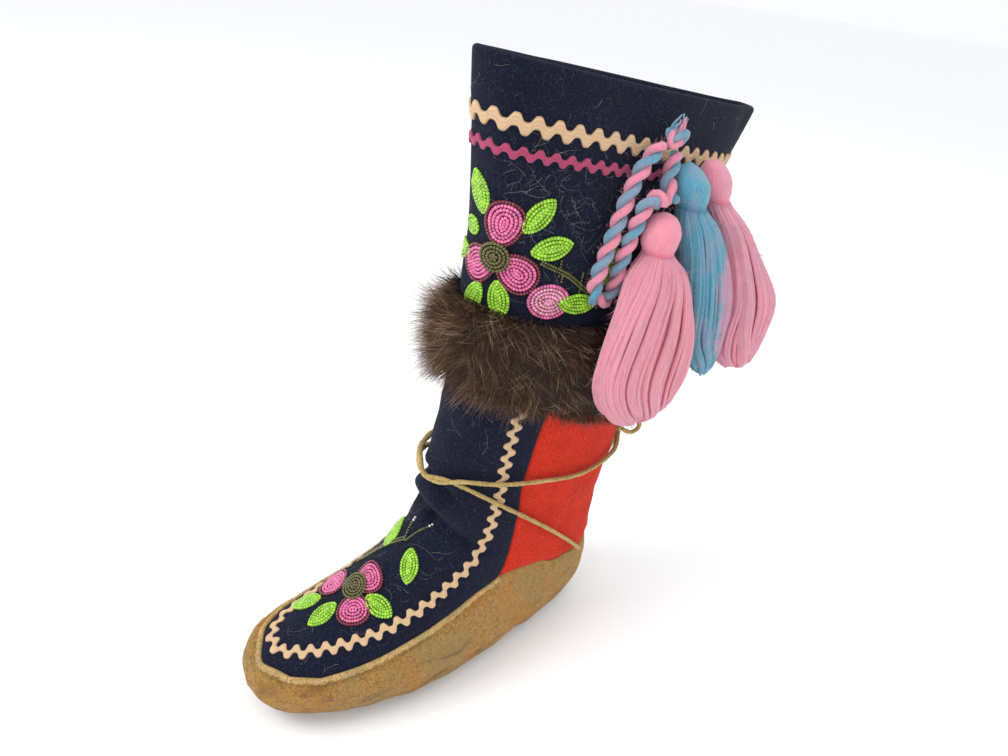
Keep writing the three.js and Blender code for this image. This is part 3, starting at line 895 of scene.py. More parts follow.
def make_foot_wool():
    """The wool of the foot: navy vamp, red side panels and the navy strip up the heel."""
    thick = sizes().wool_thick
    pale = paint("8f96ac")
    navy = wool_cloth("navy_wool", colours().navy, pale)
    red = wool_cloth("red_wool", colours().red, paint("f0a890"))
    top = JOINT + .5
    start = TOE_EDGE[0][0]
    toe = start + (top - start) * np.linspace(0, 1, 140) ** 1.25
    rings, share = grid(toe, np.linspace(0, 1, 91))
    low = edge_turn(np.minimum(rings, PEAK))
    vamp = laid_grid("vamp", boot_rows(rings, low + (1 - 2 * low) * share))
    keep(wall(vamp, thick), navy, "wool", "upper")
    lift = np.linspace(0, 1, 84)
    spans = (("side_panel_outer", STRIP_TURN, SEAM_TURN, 54, red),
             ("heel_strip", -STRIP_TURN, STRIP_TURN, 20, navy),
             ("side_panel_inner", -SEAM_TURN, -STRIP_TURN, 54, red))
    for name, a, b, count, finish in spans:
        lifts, turns = grid(lift, np.linspace(a, b, count))
        bottom = edge_ring(turns)
        rows = boot_rows(bottom + (top - bottom) * lifts, turns)
        keep(wall(laid_grid(name, rows), thick), finish, "wool")


def make_shaft():
    """The shaft's wool, rolled over at the collar, and the red lining inside."""
    thick = sizes().wool_thick
    turns = np.linspace(0, 1, 181)
    out = boot_rows(*grid(np.linspace(JOINT - .4, COLLAR, 84), turns))
    rim, normal = out[-1], form_normal(COLLAR - .01, turns)
    up = unit(out[-1] - out[-4])
    radius = RIM * MM
    swing = np.linspace(0, np.pi, 7)[1:, None, None]
    roll = rim - normal * radius + normal * radius * np.cos(swing) + up * radius * np.sin(swing)
    down = np.linspace(0, .012, 4)[1:, None, None]
    inner = roll[-1] - up * down
    rows = np.concatenate([out, roll, inner])
    rows[:, -1] = rows[:, 0]
    shaft = laid_grid("shaft_wool", rows)
    wall(shaft, thick * .9)
    keep(shaft, bpy.data.materials["navy_wool"], "wool", "shaft")
    top = COLLAR - .32
    rings, around = grid(np.concatenate([[.9], np.linspace(1.4, top, 84)]), turns[::2])
    points = form_point(rings, around)
    deep = np.interp(rings, (8, 10, 18, JOINT, top), (2.25, 3.9, 3.9, 2.25, 3.0))
    inside = points - form_normal(rings, around) * ((deep * MM)[..., None])
    fold = folds(rings.ravel(), around.ravel(), points.reshape(-1, 3)).reshape(*rings.shape, 1)
    inside += form_normal(rings, around) * fold * .9
    inside[0] = inside[0].mean(0)
    inside[:, -1] = inside[:, 0]
    lining = wool_cloth("lining_cloth", colours().lining, paint("e88aa0"))
    keep(wall(laid_grid("lining", inside), .6 * MM), lining, "wool")


def make_insole():
    """A felt insole, cut to the inside of the foot and a little dished."""
    low, high = (Vector(c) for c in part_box("insole"))
    rings = np.linspace(.0, 1, 60)
    y = low.y + (high.y - low.y) * rings
    span = np.linspace(-1, 1, 41)
    reach = np.sqrt(np.clip(1 - ((y - (low.y + high.y) / 2) / ((high.y - low.y) / 2)) ** 2, 0, 1)) ** .62
    line = np.interp(y, (low.y, (low.y * .45 + high.y * .55), high.y), (0, .002, 0))
    wide = np.where(y < (low.y + high.y) / 2, 1.0, .86) * (high.x - low.x) / 2 * .985
    x = (low.x + high.x) / 2 + line[:, None] + (reach * wide)[:, None] * span
    z = low.z + .0005 + (high.z - low.z - .0008) * (1 - .25 * (1 - np.abs(span) ** 3))[None] + 0 * x
    rows = np.stack([x, np.repeat(y[:, None], len(span), 1), z], -1)[:, ::-1]
    piece = laid_grid("insole_felt", rows)
    wall(piece, (high.z - low.z) * .7)
    return keep(piece, pressed_felt("pressed_felt", paint("bbab94")), "felt", "insole")


# ---- Fur ----------------------------------------------------------------------------------------

FUR_LOW, FUR_HIGH = 19.95, 22.55
FUR_MIDDLE, FUR_HALF = (FUR_LOW + FUR_HIGH) / 2, (FUR_HIGH - FUR_LOW) / 2
FUR_PRESSED_TURN, FUR_PRESSED_WIDTH = .225, .12


def fur_locks(name, count, steps, seed, reach, spread, thick):
    """Hair paths round the band, gathered in small locks that fall outwards and down."""
    rng = np.random.default_rng(seed)
    locks = 420
    lock_turn = rng.random(locks)
    lock_ring = rng.uniform(FUR_LOW, FUR_HIGH, locks)
    lock_lean = rng.normal(0, spread, (locks, 2))
    mine = rng.integers(0, locks, count)
    turn = lock_turn[mine] + rng.normal(0, .012, count)
    ring = np.clip(lock_ring[mine] + rng.normal(0, .16, count), FUR_LOW, FUR_HIGH)
    turn = turn % 1
    height = (ring - FUR_MIDDLE) / FUR_HALF
    normal = form_normal(ring, turn)
    down = unit(form_point(ring - .1, turn) - form_point(ring, turn))
    about = unit(np.cross(normal, down))
    pressed = 1 - .62 * bell(np.abs(turn - FUR_PRESSED_TURN), FUR_PRESSED_WIDTH)
    full = (.62 + .38 * np.sqrt(np.clip(1 - height ** 2, 0, 1))) * pressed
    long = reach * full * rng.uniform(.72, 1.05, count)
    lean_down = .5 - .62 * height + lock_lean[mine, 0] + rng.normal(0, .16, count)
    lean_about = lock_lean[mine, 1] + rng.normal(0, .16, count)
    root = form_point(ring, turn) + normal * (1.2 * MM)
    way = unit(normal + down * (.25 * lean_down)[:, None] + about * (.5 * lean_about)[:, None])
    bend = unit(normal * .75 + down * lean_down[:, None] + about * lean_about[:, None])
    t = np.linspace(0, 1, steps)[None, :, None]
    reach_out = long[:, None, None]
    paths = root[:, None] + reach_out * (way[:, None] * t * (1 - .5 * t) * 1.1 + bend[:, None] * .5 * t ** 2)
    wiggle = rng.normal(0, .35 * MM, (count, steps, 3)) * t
    tones = np.clip(rng.random(locks)[mine] * .55 + rng.random(count) * .5, 0, 1)
    return hairs(name, paths + wiggle, thick * rng.uniform(.7, 1.2, count), tones)


def make_fur():
    """The fur band: a dense core painted dark as the shade deep in the fur, two layers of underfur and long
    pale guard hairs.
    """
    longest = sizes().fur_length
    count = sizes().fur_hairs
    turns = np.linspace(0, 1, 121)
    angle, around = grid(np.linspace(0, np.pi, 18), turns)
    turned = np.abs(around - FUR_PRESSED_TURN)
    deep = 11.5 * (1 - .6 * bell(turned, FUR_PRESSED_WIDTH)) * np.sin(angle) ** .7 + .9
    rings = FUR_MIDDLE - FUR_HALF * .92 * np.cos(angle)
    core = outside(rings, around, deep)
    core += form_normal(rings, around) * (1.1 * MM * ripple(core, 7, 8) * np.sin(angle))[..., None]
    core[:, -1] = core[:, 0]
    under = laid_grid("fur_skin", core)
    wall(under, .5 * MM)
    brown, dark = paint("4b3323"), paint("1f140e")
    # Painted shade: the core stands for the dense fur and takes the near-black root colour all over, for the
    # shade deep between the hairs.
    keep(under, hair_finish("fur_skin", dark, shaded(brown, .7), dark, .9), "fur", "fur_band")
    soft = hair_finish("underfur", dark, brown, paint("7c5c43"), .6)
    guard = hair_finish("guard_hair", dark, paint("5a3a26"), paint("d0b08c"), .42)
    # For each layer: its share of the hairs, steps in a hair, seed, length, tousle and thickness.
    for name, share, steps, seed, long, tousle, thick, finish in (
            ("fur_under_short", .32, 3, 1, .9, .5, .21, soft),
            ("fur_under_long", .5, 3, 2, 1.12, .62, .16, soft),
            ("fur_guard", .28, 4, 3, 1.42, .95, .15, guard)):
        layer = fur_locks(name, int(count * share), steps, SEED + seed, longest * long, tousle, thick * MM)
        keep(layer, finish, "fur", smoothly=False)


# ---- Thong, cord and tassels --------------------------------------------------------------------

def in_metres(points):
    return [tuple(c * MM for c in p) for p in points]


def on_boot(rows):
    """Points for rows of (ring, turn, distance)."""
    ring, turn, distance = np.array(rows).T
    return outside(ring, turn % 1, distance)


def thong(name, points, seed, flat=.72):
    """A cut thong along a route, a little uneven in width."""
    wide = sizes().thong_wide / 2
    count = max(24, int(run_length(smooth(points, 60)) / (1.1 * MM)))
    path = smooth(points, count)
    rng = np.random.default_rng(seed)
    run = np.arange(count)
    uneven = 1 + .07 * np.sin(run * .55 + rng.uniform(0, 6)) + .05 * np.sin(run * 1.7)
    uneven += rng.normal(0, .025, count)
    uneven[0] = uneven[-1] = .85
    return tube(name, path, wide * uneven, 12, flat), path


def make_ankle_tie():
    """The thong round the ankle, its knot at the back, two bow loops and two ends."""
    finish = hide_thong("cut_thong", colours().thong)
    inner = on_boot(STRAND + TO_KNOT_INNER)
    mirrored = [(ring, 1 - turn, distance) for ring, turn, distance in STRAND + TO_KNOT_OUTER]
    outer = on_boot(mirrored)
    strands = [thong("tie_a", inner, 1)[0], thong("tie_b", outer, 2)[0]]
    keep(joined("ankle_tie_thong", strands), finish, "thong", "ankle_tie")
    knot = np.array(TIE_KNOT) * MM
    angle = np.linspace(0, 2 * np.pi * 1.62, 60)
    wrap = knot + MM * np.stack([2.5 * np.cos(angle), 1.7 * np.sin(2 * angle), 2.6 * np.sin(angle)], -1)
    across = knot + MM * np.array([(-3.2, -1.5, 1.8), (0, 2.6, 0), (3.2, -1.2, -1.8)])
    bits = [tube("k1", wrap, 1.55 * MM, 10), tube("k2", smooth(across, 24), 1.7 * MM, 10)]
    knot_piece = keep(joined("tie_knot_thong", bits), finish, "thong", "tie_knot")
    for name, route, far in (("loop_outer", LOOP_OUTER, "knot"), ("loop_inner", LOOP_INNER, "knot"),
                             ("end_outer", END_OUTER, "bare"), ("end_inner", END_INNER, "bare")):
        piece, path = thong("tie_" + name + "_thong", in_metres(route), len(name), .8)
        keep(piece, finish, "thong", "tie_" + name)


def twisted(name, points, diameter, blend_seed):
    """A two-ply cord: each ply a soft round yarn that winds round the route."""
    pitch, ply = 18 * MM, diameter * .268
    rough = smooth(points, 80)
    count = int(run_length(rough) / (.9 * MM))
    path = smooth(points, count)
    side, up = side_frame(path)
    turned = np.arange(count) * run_length(path) / (count - 1) / pitch * 2 * np.pi
    plies = []
    for k in range(2):
        angle = turned + np.pi * k
        centre = path + diameter * .252 * (np.cos(angle)[:, None] * side + np.sin(angle)[:, None] * up)
        swell = 1 + .06 * np.sin(np.arange(count) * .31 + k * 2 + blend_seed)
        swell[0] = swell[-1] = .8
        made = tube(f"{name}_{k}", centre, ply * swell, 14)
        mark(made, "blend", .38 + .22 * k)
        mark(made, "tone", .55)
        plies.append(made)
    return joined(name, plies), path


def curled(start, way, curl, bend, long, steps):
    """Paths of stray fibres that set off along way and bend towards curl."""
    t = np.linspace(0, 1, steps)[None, :, None]
    return start[:, None] + long[:, None, None] * (way[:, None] * t + bend * curl[:, None] * t ** 2)


def fuzz_along(name, path, radius, count, seed):
    """Short stray fibres standing off a cord."""
    rng = np.random.default_rng(seed)
    at = rng.integers(0, len(path), count)
    way = unit(rng.normal(size=(count, 3)))
    curl = unit(rng.normal(size=(count, 3)))
    long = 3.5 * MM * rng.uniform(.4, 1, count)
    paths = curled(path[at] + way * radius * .8, way, curl, .8, long, 4)
    return hairs(name, paths, .08 * MM, rng.uniform(.7, 1, count))


def tassel_rows(rows):
    """The tassel's outline from its head down to its tip, in 90 fine rows."""
    table = np.array(rows[::-1], float)
    t = np.linspace(0, len(table) - 1, 90)
    p = np.vstack([table[0], table, table[-1]])
    i = np.minimum(t.astype(int), len(table) - 2)
    fine = between_rows(p[i], p[i + 1], p[i + 2], p[i + 3], (t - i)[:, None])
    fine[:, 3:] = np.maximum(fine[:, 3:], 0)
    return fine * MM


def blend_by_height(piece, low, high, dye):
    """Marks how far down the tassel each point is, or what dye makes of its place."""
    places = np.array([v.co for v in piece.data.vertices])
    share = 1 - (places[:, 2] - low) / (high - low)
    mark(piece, "blend", dye(places, share) if dye else share)


def make_tassel(name, rows, seed, lobes, finish, slot, node, dye=None):
    """One tassel: a smooth head tied off at the neck, thick wavy yarns down its skirt, and a halo of
    loose fibres. Its core carries painted shade at the neck and under the locks.
    """
    rng = np.random.default_rng(seed)
    fine = tassel_rows(rows)
    neck = rows[NECK_ROW][2] * MM
    skirt = ease(neck - fine[:, 2], -1 * MM, 12 * MM)
    columns = 73
    angle = np.linspace(0, 2 * np.pi, columns)
    groove = 1 - skirt[:, None] * (.1 + .05 * np.abs(np.sin(angle * 6 + rng.uniform(0, 6)))[None])
    groove = groove - .012 * np.abs(np.sin(angle * 11))[None] * (1 - skirt[:, None])
    body = np.stack([fine[:, 0:1] + fine[:, 4:5] * np.sin(angle) * groove,
                     fine[:, 1:2] + fine[:, 3:4] * np.cos(angle) * groove,
                     np.repeat(fine[:, 2:3], columns, 1)], -1)
    body = body[:-5]
    body = np.concatenate([body, np.repeat(body[-1].mean(0)[None, None], columns, 1)])
    body[:, -1] = body[:, 0]
    core = laid_grid(name + "_body", body)
    heights = np.array([v.co.z for v in core.data.vertices])
    low, high = fine[-1, 2], fine[0, 2]
    # Painted shade: the core's tone mark is set low in a band round the neck and on the skirt under the
    # locks, so these parts take the yarn's deep colour.
    neck_shade = bell(np.abs(heights - neck), 3.2 * MM)
    mark(core, "tone", np.where(heights > neck, .55, .1) * (1 - .95 * neck_shade) - .5 * neck_shade)
    blend_by_height(core, low, high, dye)
    keep(core, finish, slot, node)

    locks, yarns = 14, 150
    lock_angle = (np.arange(locks) + rng.uniform(-.3, .3, locks)) / locks * 2 * np.pi
    lock_phase = .8 * np.sin(lock_angle) + 1.6 + rng.uniform(-.3, .3, locks)
    lock_end = 1 - .08 * (.5 - .5 * np.cos(lobes * lock_angle)) - rng.uniform(0, .05, locks)
    mine = rng.integers(0, locks, yarns)
    spread = rng.uniform(-1, 1, yarns)
    steps = 24
    short = .07 * np.abs(spread) * rng.random(yarns)
    begin = np.interp(-neck - 1.2 * MM, -fine[:, 2], np.arange(len(fine))) / (len(fine) - 1)
    t = np.linspace(0, 1, steps)[None, :]
    s = begin + t * ((lock_end[mine] - short)[:, None] - begin)
    at = s * (len(fine) - 1)
    row = [np.interp(at, np.arange(len(fine)), fine[:, k]) for k in range(5)]
    loose = ease(neck - row[2], 2 * MM, 30 * MM)
    phase = lock_phase[mine][:, None]
    wave = np.sin(s * 8.5 + phase) * .34 + np.sin(s * 21 + phase * 2.3) * .06
    pinch = 1 - .55 * ease(s, .84, 1.0)
    half = np.pi / locks * 1.15
    frizz = np.sin(s * rng.uniform(14, 30, (yarns, 1)) + rng.uniform(0, 6.3, (yarns, 1))) * .03
    turned = lock_angle[mine][:, None] + (spread * half)[:, None] * pinch + (wave + frizz) * loose
    crown = (1 - spread ** 2)[:, None] * .08 - .05
    depth = .975 - .07 * rng.random(yarns)[:, None] ** 2 + crown * loose
    reach = depth * (1 + .035 * np.sin(s * 17 + phase * 1.7) * loose)
    floor_wide, floor_thick = 6.5 * MM * ease(s, .78, 1), 4.5 * MM * ease(s, .78, 1)
    paths = np.stack([row[0] + np.maximum(row[4], floor_thick) * np.sin(turned) * reach,
                      row[1] + np.maximum(row[3], floor_wide) * np.cos(turned) * reach, row[2]], -1)
    # Painted shade: yarns at a lock's edges get a lower tone, so the grooves between locks are painted
    # darker; the normal noise is random tone.
    tones = np.clip(.8 - .4 * spread ** 2 + rng.normal(0, .12, yarns), 0, 1)
    swell = np.interp(np.linspace(0, 1, steps), (0, .12, .5, .9, .97, 1), (.45, .8, 1, .8, .4, 0))
    strands = hairs(name + "_locks", paths, 1.5 * MM * rng.uniform(.75, 1.2, yarns), tones, 5, swell)
    blend_by_height(strands, low, high, dye)
    keep(strands, finish, slot)

    count = 650
    pick = rng.integers(0, yarns, count)
    at = rng.integers(3, steps - 1, count)
    start = paths[pick, at]
    centre = np.stack([row[0][pick, at], row[1][pick, at], row[2][pick, at] - 4 * MM], -1)
    out = unit(start - centre)
    start = start + out * .9 * MM
    way = unit(out + rng.normal(0, .6, (count, 3)) + (0, 0, -.5))
    curl = unit(rng.normal(size=(count, 3)))
    long = rng.uniform(2, 7.5, count) * (1 - .55 * ease(at / steps, .6, .9)) * MM
    stray = curled(start, way, curl, .7, long, 5)
    halo = hairs(name + "_halo", stray, .12 * MM, rng.uniform(.5, 1, count))
    blend_by_height(halo, low, high, dye)
    keep(halo, finish, slot)
    return [core, strands, halo]


def make_tassel_cord():
    """The twisted cord that is doubled and knotted on the shaft, its tuft and its three tassels."""
    look = colours()
    diameter = sizes().cord_thick
    pink, blue = tuple(look.pink_wool), tuple(look.blue_wool)
    cord_wool = yarn("cord_wool", blue, blended(pink, blue, .35), .25, pink)
    pink_yarn = yarn("pink_yarn", pink, blended(pink, blue, .6), 0)
    blue_yarn = yarn("blue_yarn", blue, pink, .12, blended(pink, blue, .28))
    rear_yarn = yarn("rear_pink_yarn", pink, blended(pink, blue, .6), .18)

    knot = np.array(TASSEL_KNOT) * MM
    angle = np.linspace(0, 2 * np.pi * 1.35, 70)
    turned = MM * np.stack([2.6 * np.cos(angle), 3.6 * np.sin(angle), 2.6 * np.sin(2 * angle + .5)], -1)
    tie, _ = twisted("knot_tie", [tuple(p) for p in (knot + turned)[::6]], diameter * .72, 3)
    tuft = []
    rng = np.random.default_rng(SEED + 9)
    for k in range(9):
        lean = Vector((rng.uniform(-.2, .6), rng.uniform(-.5, .5), 1)).normalized()
        far = Vector(knot) + lean * rng.uniform(8, 13) * MM
        middle = Vector(knot) + lean * 5 * MM + Vector(rng.normal(0, 1.2 * MM, 3))
        path = smooth([tuple(knot), tuple(middle), tuple(far)], 14)
        strand = tube(f"tuft{k}", path, np.linspace(1.3, .35, 14) * MM, 8)
        mark(strand, "tone", rng.random())
        mark(strand, "blend", rng.random())
        tuft.append(strand)
    knot_piece = keep(joined("tassel_knot_wool", [tie, *tuft]), cord_wool, "cord_wool", "tassel_knot")

    short, short_path = twisted("tassel_cord_short_wool", in_metres(CORD_SHORT), diameter, 1)
    keep(short, cord_wool, "cord_wool", "tassel_cord_short")
    long, long_path = twisted("tassel_cord_long_wool", in_metres(CORD_LONG), diameter, 2)
    keep(long, cord_wool, "cord_wool", "tassel_cord_long")
    both = np.concatenate([long_path, short_path])
    fuzz = keep(fuzz_along("cord_fuzz", both, diameter * .5, 1100, SEED + 12), pink_yarn, "cord_wool")
    mark(fuzz, "blend", np.random.default_rng(5).random(len(fuzz.data.vertices)))

    hung = [knot_piece, short, fuzz]
    hung += make_tassel("tassel_pink_front_wool", PINK_FRONT, SEED + 21, 5, pink_yarn, "pink_wool",
                        "tassel_pink_front")
    rows = np.array(BLUE[::-1], float) * MM

    def dyed(places, share):
        middle = np.interp(-places[:, 2], -rows[:, 2], rows[:, 1])
        right = (places[:, 1] - middle) / (15 * MM)
        mauve = ease(share, .22, .5) * (1 - .75 * ease(share, .8, .95) * (right < .2))
        return .1 + mauve * (.42 + .3 * right)

    hung += make_tassel("tassel_blue_wool", BLUE, SEED + 22, 3, blue_yarn, "blue_wool", "tassel_blue", dyed)
    hung += make_tassel("tassel_pink_rear_wool", PINK_REAR, SEED + 23, 4, rear_yarn, "pink_wool",
                        "tassel_pink_rear")


# ---- Trims --------------------------------------------------------------------------------------

WOOL_SKIN = ("vamp", "side_panel_outer", "side_panel_inner", "heel_strip", "shaft_wool")
TOE_BRAID = ((4.5, .594), (3.85, .579), (3.42, .552), (3.3, .517), (3.45, .488), (3.85, .463))
VAMP_BRAID = ((4.5, .436), (6, .403), (8, .382), (11, .362), (15, .35), (20.2, .357))


def rickrack(name, skin, centre, ways, half_wide, swing, pitch, closed, finish):
    """A zigzag braid laid on the cloth along a centre line, with its sizes in millimetres."""
    lift = .25
    total = run_length(centre) / MM
    waves = max(1, round(total / pitch))
    steps = waves * 16
    centre, ways = along_with(centre, ways, steps + 1)
    share = np.arange(steps + 1) / steps
    angle = share * waves * 2 * np.pi
    wave = np.sin(angle) + .12 * np.sin(3 * angle)
    ahead = unit(np.gradient(centre, axis=0))
    if closed:
        ahead[0] = ahead[-1] = unit(ahead[0] + ahead[-1])
    across = unit(np.cross(ways, ahead))
    rows, height, marks = [], (.1, .8, .95, .7, .95, .8, .1), []
    lanes = (-1, -.72, -.3, 0, .3, .72, 1)
    for lane, high in zip(lanes, height):
        off = swing * wave + lane * half_wide
        points, _ = dropped(skin, centre + across * (off * MM)[:, None], ways, (lift + high) * MM)
        rows.append(points)
        marks.append(off / (swing + half_wide))
    under = [dropped(skin, rows[k], ways, .05 * MM)[0] for k in (6, 3, 0)]
    rows = np.stack(rows + under + rows[:1], 1)
    marks = np.stack(marks + [marks[6], marks[3], marks[0], marks[0]], 1)
    lane = np.tile(np.abs(lanes + (1, 0, -1, -1)), (len(rows), 1))
    along = np.repeat((share * total)[:, None], rows.shape[1], 1)
    if closed:
        rows[-1] = rows[0]
    else:
        rows = capped(rows)
        marks, along, lane = (np.concatenate([a[:1], a, a[-1:]]) for a in (marks, along, lane))
    piece = laid_grid(name, rows)
    flat = rows.reshape(-1, 3)
    tree = KDTree(len(flat))
    for k, point in enumerate(flat):
        tree.insert(point, k)
    tree.balance()
    found = [tree.find(v.co)[1] for v in piece.data.vertices]
    for mark_name, values in (("across", marks), ("along", along), ("lane", lane)):
        mark(piece, mark_name, values.reshape(-1)[found])
    return keep(piece, finish, "wool")


def make_rickrack():
    """Cream rickrack round the vamp and the collar, with a narrow pink one below."""
    skin = boot_skin(*WOOL_SKIN)
    look = colours()
    cream = woven_braid("cream_braid", look.cream, blended(look.cream, look.navy, .45))
    vamp_cream = woven_braid("vamp_braid", look.cream, tuple(look.cream))
    pink = woven_braid("pink_braid", look.pink_braid, blended(look.pink_braid, look.navy, .35))
    inner = [(ring, 1 - turn) for ring, turn in VAMP_BRAID[:1:-1]]
    route = inner + list(TOE_BRAID) + list(VAMP_BRAID)
    rickrack("trim_vamp", skin, *smooth_route(route, 500), 2.5, 2.1, 9.2, False, vamp_cream)
    turns, lowest = np.linspace(0, 1, 361), .06
    for name, level, sag, wide, swing, pitch, finish in (
            ("trim_collar_cream", 26.12, .22, 3.1, 2.1, 10.5, cream),
            ("trim_collar_pink", 25.68, .14, 2.1, 1.5, 8.2, pink)):
        away = np.abs(turns - lowest)
        ring = level - sag * bell(np.minimum(away, 1 - away), .16)
        line, ways = form_point(ring, turns % 1), form_normal(ring, turns % 1)
        rickrack(name, skin, line, ways, wide, swing, pitch, True, finish)


def closed_curve(points, gap):
    """Points spaced evenly round a closed curve, about a gap apart, with the way along it."""
    loop = np.vstack([points, points[:1]])
    count = max(3, int(round(run_length(loop) / gap)))
    spots = evenly(loop, count + 1)[:-1]
    return spots, unit(np.roll(spots, -1, 0) - np.roll(spots, 1, 0))


def leaf_shape(half_long, half_wide, point, flare):
    """An oval, more pointed at its ends as point grows and broader outwards as flare does."""
    angle = np.linspace(0, 2 * np.pi, 80, endpoint=False)
    y = np.sign(np.sin(angle)) * np.abs(np.sin(angle)) ** point * (1 + flare * np.cos(angle))
    return np.stack([half_long * np.cos(angle), half_wide * y], -1)


class Beadwork:
    """Rows of beads gathered by colour, laid flat in millimetres about places on the boot."""
    seat = .36      # how high a bead's centre is off the cloth, as a share of its size

    def __init__(self, skin, bead):
        self.skin = skin
        self.bead = bead
        self.rows = {}

    def lay(self, shade, spots, ways, centre, towards, lift):
        """Beads at spots, x away from the place named by towards, about a (ring, turn) centre."""
        place = form_point(*centre)
        normal = form_normal(*centre)
        x = place - form_point(*towards)
        x = unit(x - normal * (x @ normal))
        y = np.cross(normal, x)
        at = place + (spots[:, :1] * x + spots[:, 1:] * y) * MM
        out = np.repeat(normal[None], len(at), 0)
        where, normals = dropped(self.skin, at, out, self.bead * self.seat + lift * MM)
        thread = ways[:, :1] * x + ways[:, 1:] * y
        self.rows.setdefault(shade, []).append((where, normals, thread, np.ones(len(at))))

    def shape(self, shades, centre, towards, half_long, half_wide, point=1.0, flare=0.0, lift=0.0):
        """A filled shape of rows one inside the other, shades from the outline inwards."""
        step = self.bead / MM * 1.02
        gap = step * .86
        k = 0
        while half_wide - k * step > .25 * step:
            outline = leaf_shape(half_long - k * step, half_wide - k * step, point, flare)
            spots, ways = closed_curve(outline, gap)
            self.lay(shades[min(k, len(shades) - 1)], spots, ways, centre, towards, lift)
            k += 1
        if half_wide - k * step > -.45 * step:
            reach = max(half_long - k * step, .3)
            line = np.linspace(-reach, reach, max(2, round(2 * reach / gap) + 1))
            spots = np.stack([line, np.zeros(len(line))], -1)
            ways = np.tile((1.0, 0), (len(line), 1))
            self.lay(shades[min(k, len(shades) - 1)], spots, ways, centre, towards, lift)

    def stem(self, shade, route, size=.82, double=False, tip=None):
        """A row of small beads along a route of (ring, turn) places."""
        points, normals = smooth_route(route, 160)
        count = max(3, int(run_length(points) / (self.bead * size * .95)))
        points, normals = along_with(points, normals, count)
        thread = unit(np.gradient(points, axis=0))
        for lane in ((-.5, .5) if double else (0,)):
            moved = points + np.cross(normals, thread) * lane * self.bead * size
            where, out = dropped(self.skin, moved, normals, self.bead * size * self.seat)
            shades = [shade] * count
            if tip:
                shades[-2:] = [tip, tip]
            for one in set(shades):
                keep_these = np.array([s == one for s in shades])
                self.rows.setdefault(one, []).append(
                    (where[keep_these], out[keep_these], thread[keep_these], np.full(keep_these.sum(), size)))

    def flower(self, centre, petals, leaves, petal, leaf, disc):
        """Petals and leaves that point away from a disc; each size is half the length and breadth."""
        for spot in leaves:
            self.shape(("green",), spot, centre, *leaf, point=1.55)
        for spot in petals:
            self.shape(("dark_red", "pink"), spot, centre, *petal, point=.9, flare=.16)
        self.shape(("olive",), centre, (centre[0] - .4, centre[1]), disc, disc, lift=1.1)

    def build(self, finishes):
        """One mesh for each colour. A bead is a small short barrel, copied to each place."""
        for shade, rows in self.rows.items():
            where, normals, thread, size = (np.concatenate(part) for part in zip(*rows))
            bpy.ops.object.select_all(action="DESELECT")
            bpy.ops.mesh.primitive_uv_sphere_add(segments=6, ring_count=3, radius=.5)
            pattern = bpy.context.object
            pattern.data.calc_loop_triangles()
            ball = np.array([v.co for v in pattern.data.vertices]) * self.bead
            faces = np.array([t.vertices for t in pattern.data.loop_triangles])
            bpy.data.objects.remove(pattern)
            ends = np.abs(ball[:, 2]) > .4 * self.bead
            ball[ends, 2] *= .88
            ball[~ends] *= (1.13, 1.13, 1.42)
            z = unit(thread - normals * (thread * normals).sum(1)[:, None])
            x = normals
            y = np.cross(z, x)
            rng = np.random.default_rng(SEED + len(where))
            grown = size * rng.uniform(.92, 1.06, len(where))
            points = where[:, None] + grown[:, None, None] * (
                ball[None, :, :1] * x[:, None] + ball[None, :, 1:2] * y[:, None]
                + ball[None, :, 2:] * z[:, None])
            each = len(ball)
            all_faces = (faces[None] + each * np.arange(len(where))[:, None, None]).reshape(-1, 3)
            piece = raw_mesh("beads_" + shade, points.reshape(-1, 3), all_faces)
            mark(piece, "tone", np.repeat(rng.random(len(where)), each))
            keep(piece, finishes[shade], "wool")


def make_beadwork():
    """Flowers, leaves, stems and buds of seed beads on the vamp and three times round the shaft."""
    look = colours()
    finishes = {"green": glass_bead("green_beads", look.bead_green),
                "pink": glass_bead("pink_beads", look.bead_pink),
                "dark_red": glass_bead("dark_red_beads", look.bead_red, .1),
                "olive": glass_bead("olive_beads", look.bead_olive, .08),
                "pale_pink": glass_bead("pale_pink_beads", paint("f0a0bc")),
                "white": glass_bead("white_beads", paint("d8dcd8"))}
    work = Beadwork(boot_skin(*WOOL_SKIN), sizes().bead)
    centre = (6.56, .508)
    work.stem("olive", ((7.2, .585), (8.14, .548), (9.1, .495)), double=True)
    work.stem("olive", ((9.1, .495), (9.55, .503), (9.97, .505)), tip="white")
    work.stem("olive", ((9.1, .49), (9.75, .478), (10.3, .462)), tip="white")
    for spot, base in (((8.95, .545), (8.2, .535)), ((8.6, .45), (9.35, .478))):
        work.shape(("green",), spot, base, 10.5, 5.2, point=1.5)
    work.flower(centre, ((7.12, .5), (6.05, .57), (6.08, .468)), ((5.0, .572), (5.22, .505), (6.86, .44)),
                (9.2, 10.2), (9.8, 5.4), 8.0)
    for part in range(3):
        def at(ring, turn, part=part):
            return ring, turn + part / 3
        centre = at(23.72, .448)
        work.stem("olive", (at(23.84, .375), at(23.66, .34), at(23.42, .315), at(23.1, .285)), double=True)
        for near in (at(23.93, .35), at(23.5, .345), at(23.72, .318), at(23.18, .318)):
            work.stem("olive", (at(23.62, near[1] - part / 3), near), size=.7)
        for spot in (at(23.93, .285), at(23.06, .318)):
            high = spot[0] > 23.5
            base = at(23.2, .287) if high else at(22.98, .36)
            work.shape(("green",), spot, base, 10.5, 5, point=1.5, lift=0 if high else 1.3)
        work.shape(("pink", "pale_pink"), at(23.02, .357), at(23.02, .39), 11, 9.2)
        work.shape(("green",), at(24.15, .51), centre, 4.6, 4.2)
        work.flower(centre, (at(24.42, .435), at(23.5, .408), at(23.45, .483)),
                    (at(24.7, .385), at(24.14, .364), at(24.86, .486), at(23.5, .559),
                     at(22.6, .487), at(22.8, .432)), (11.3, 9.6), (10.6, 5.2), 7.4)
    work.build(finishes)


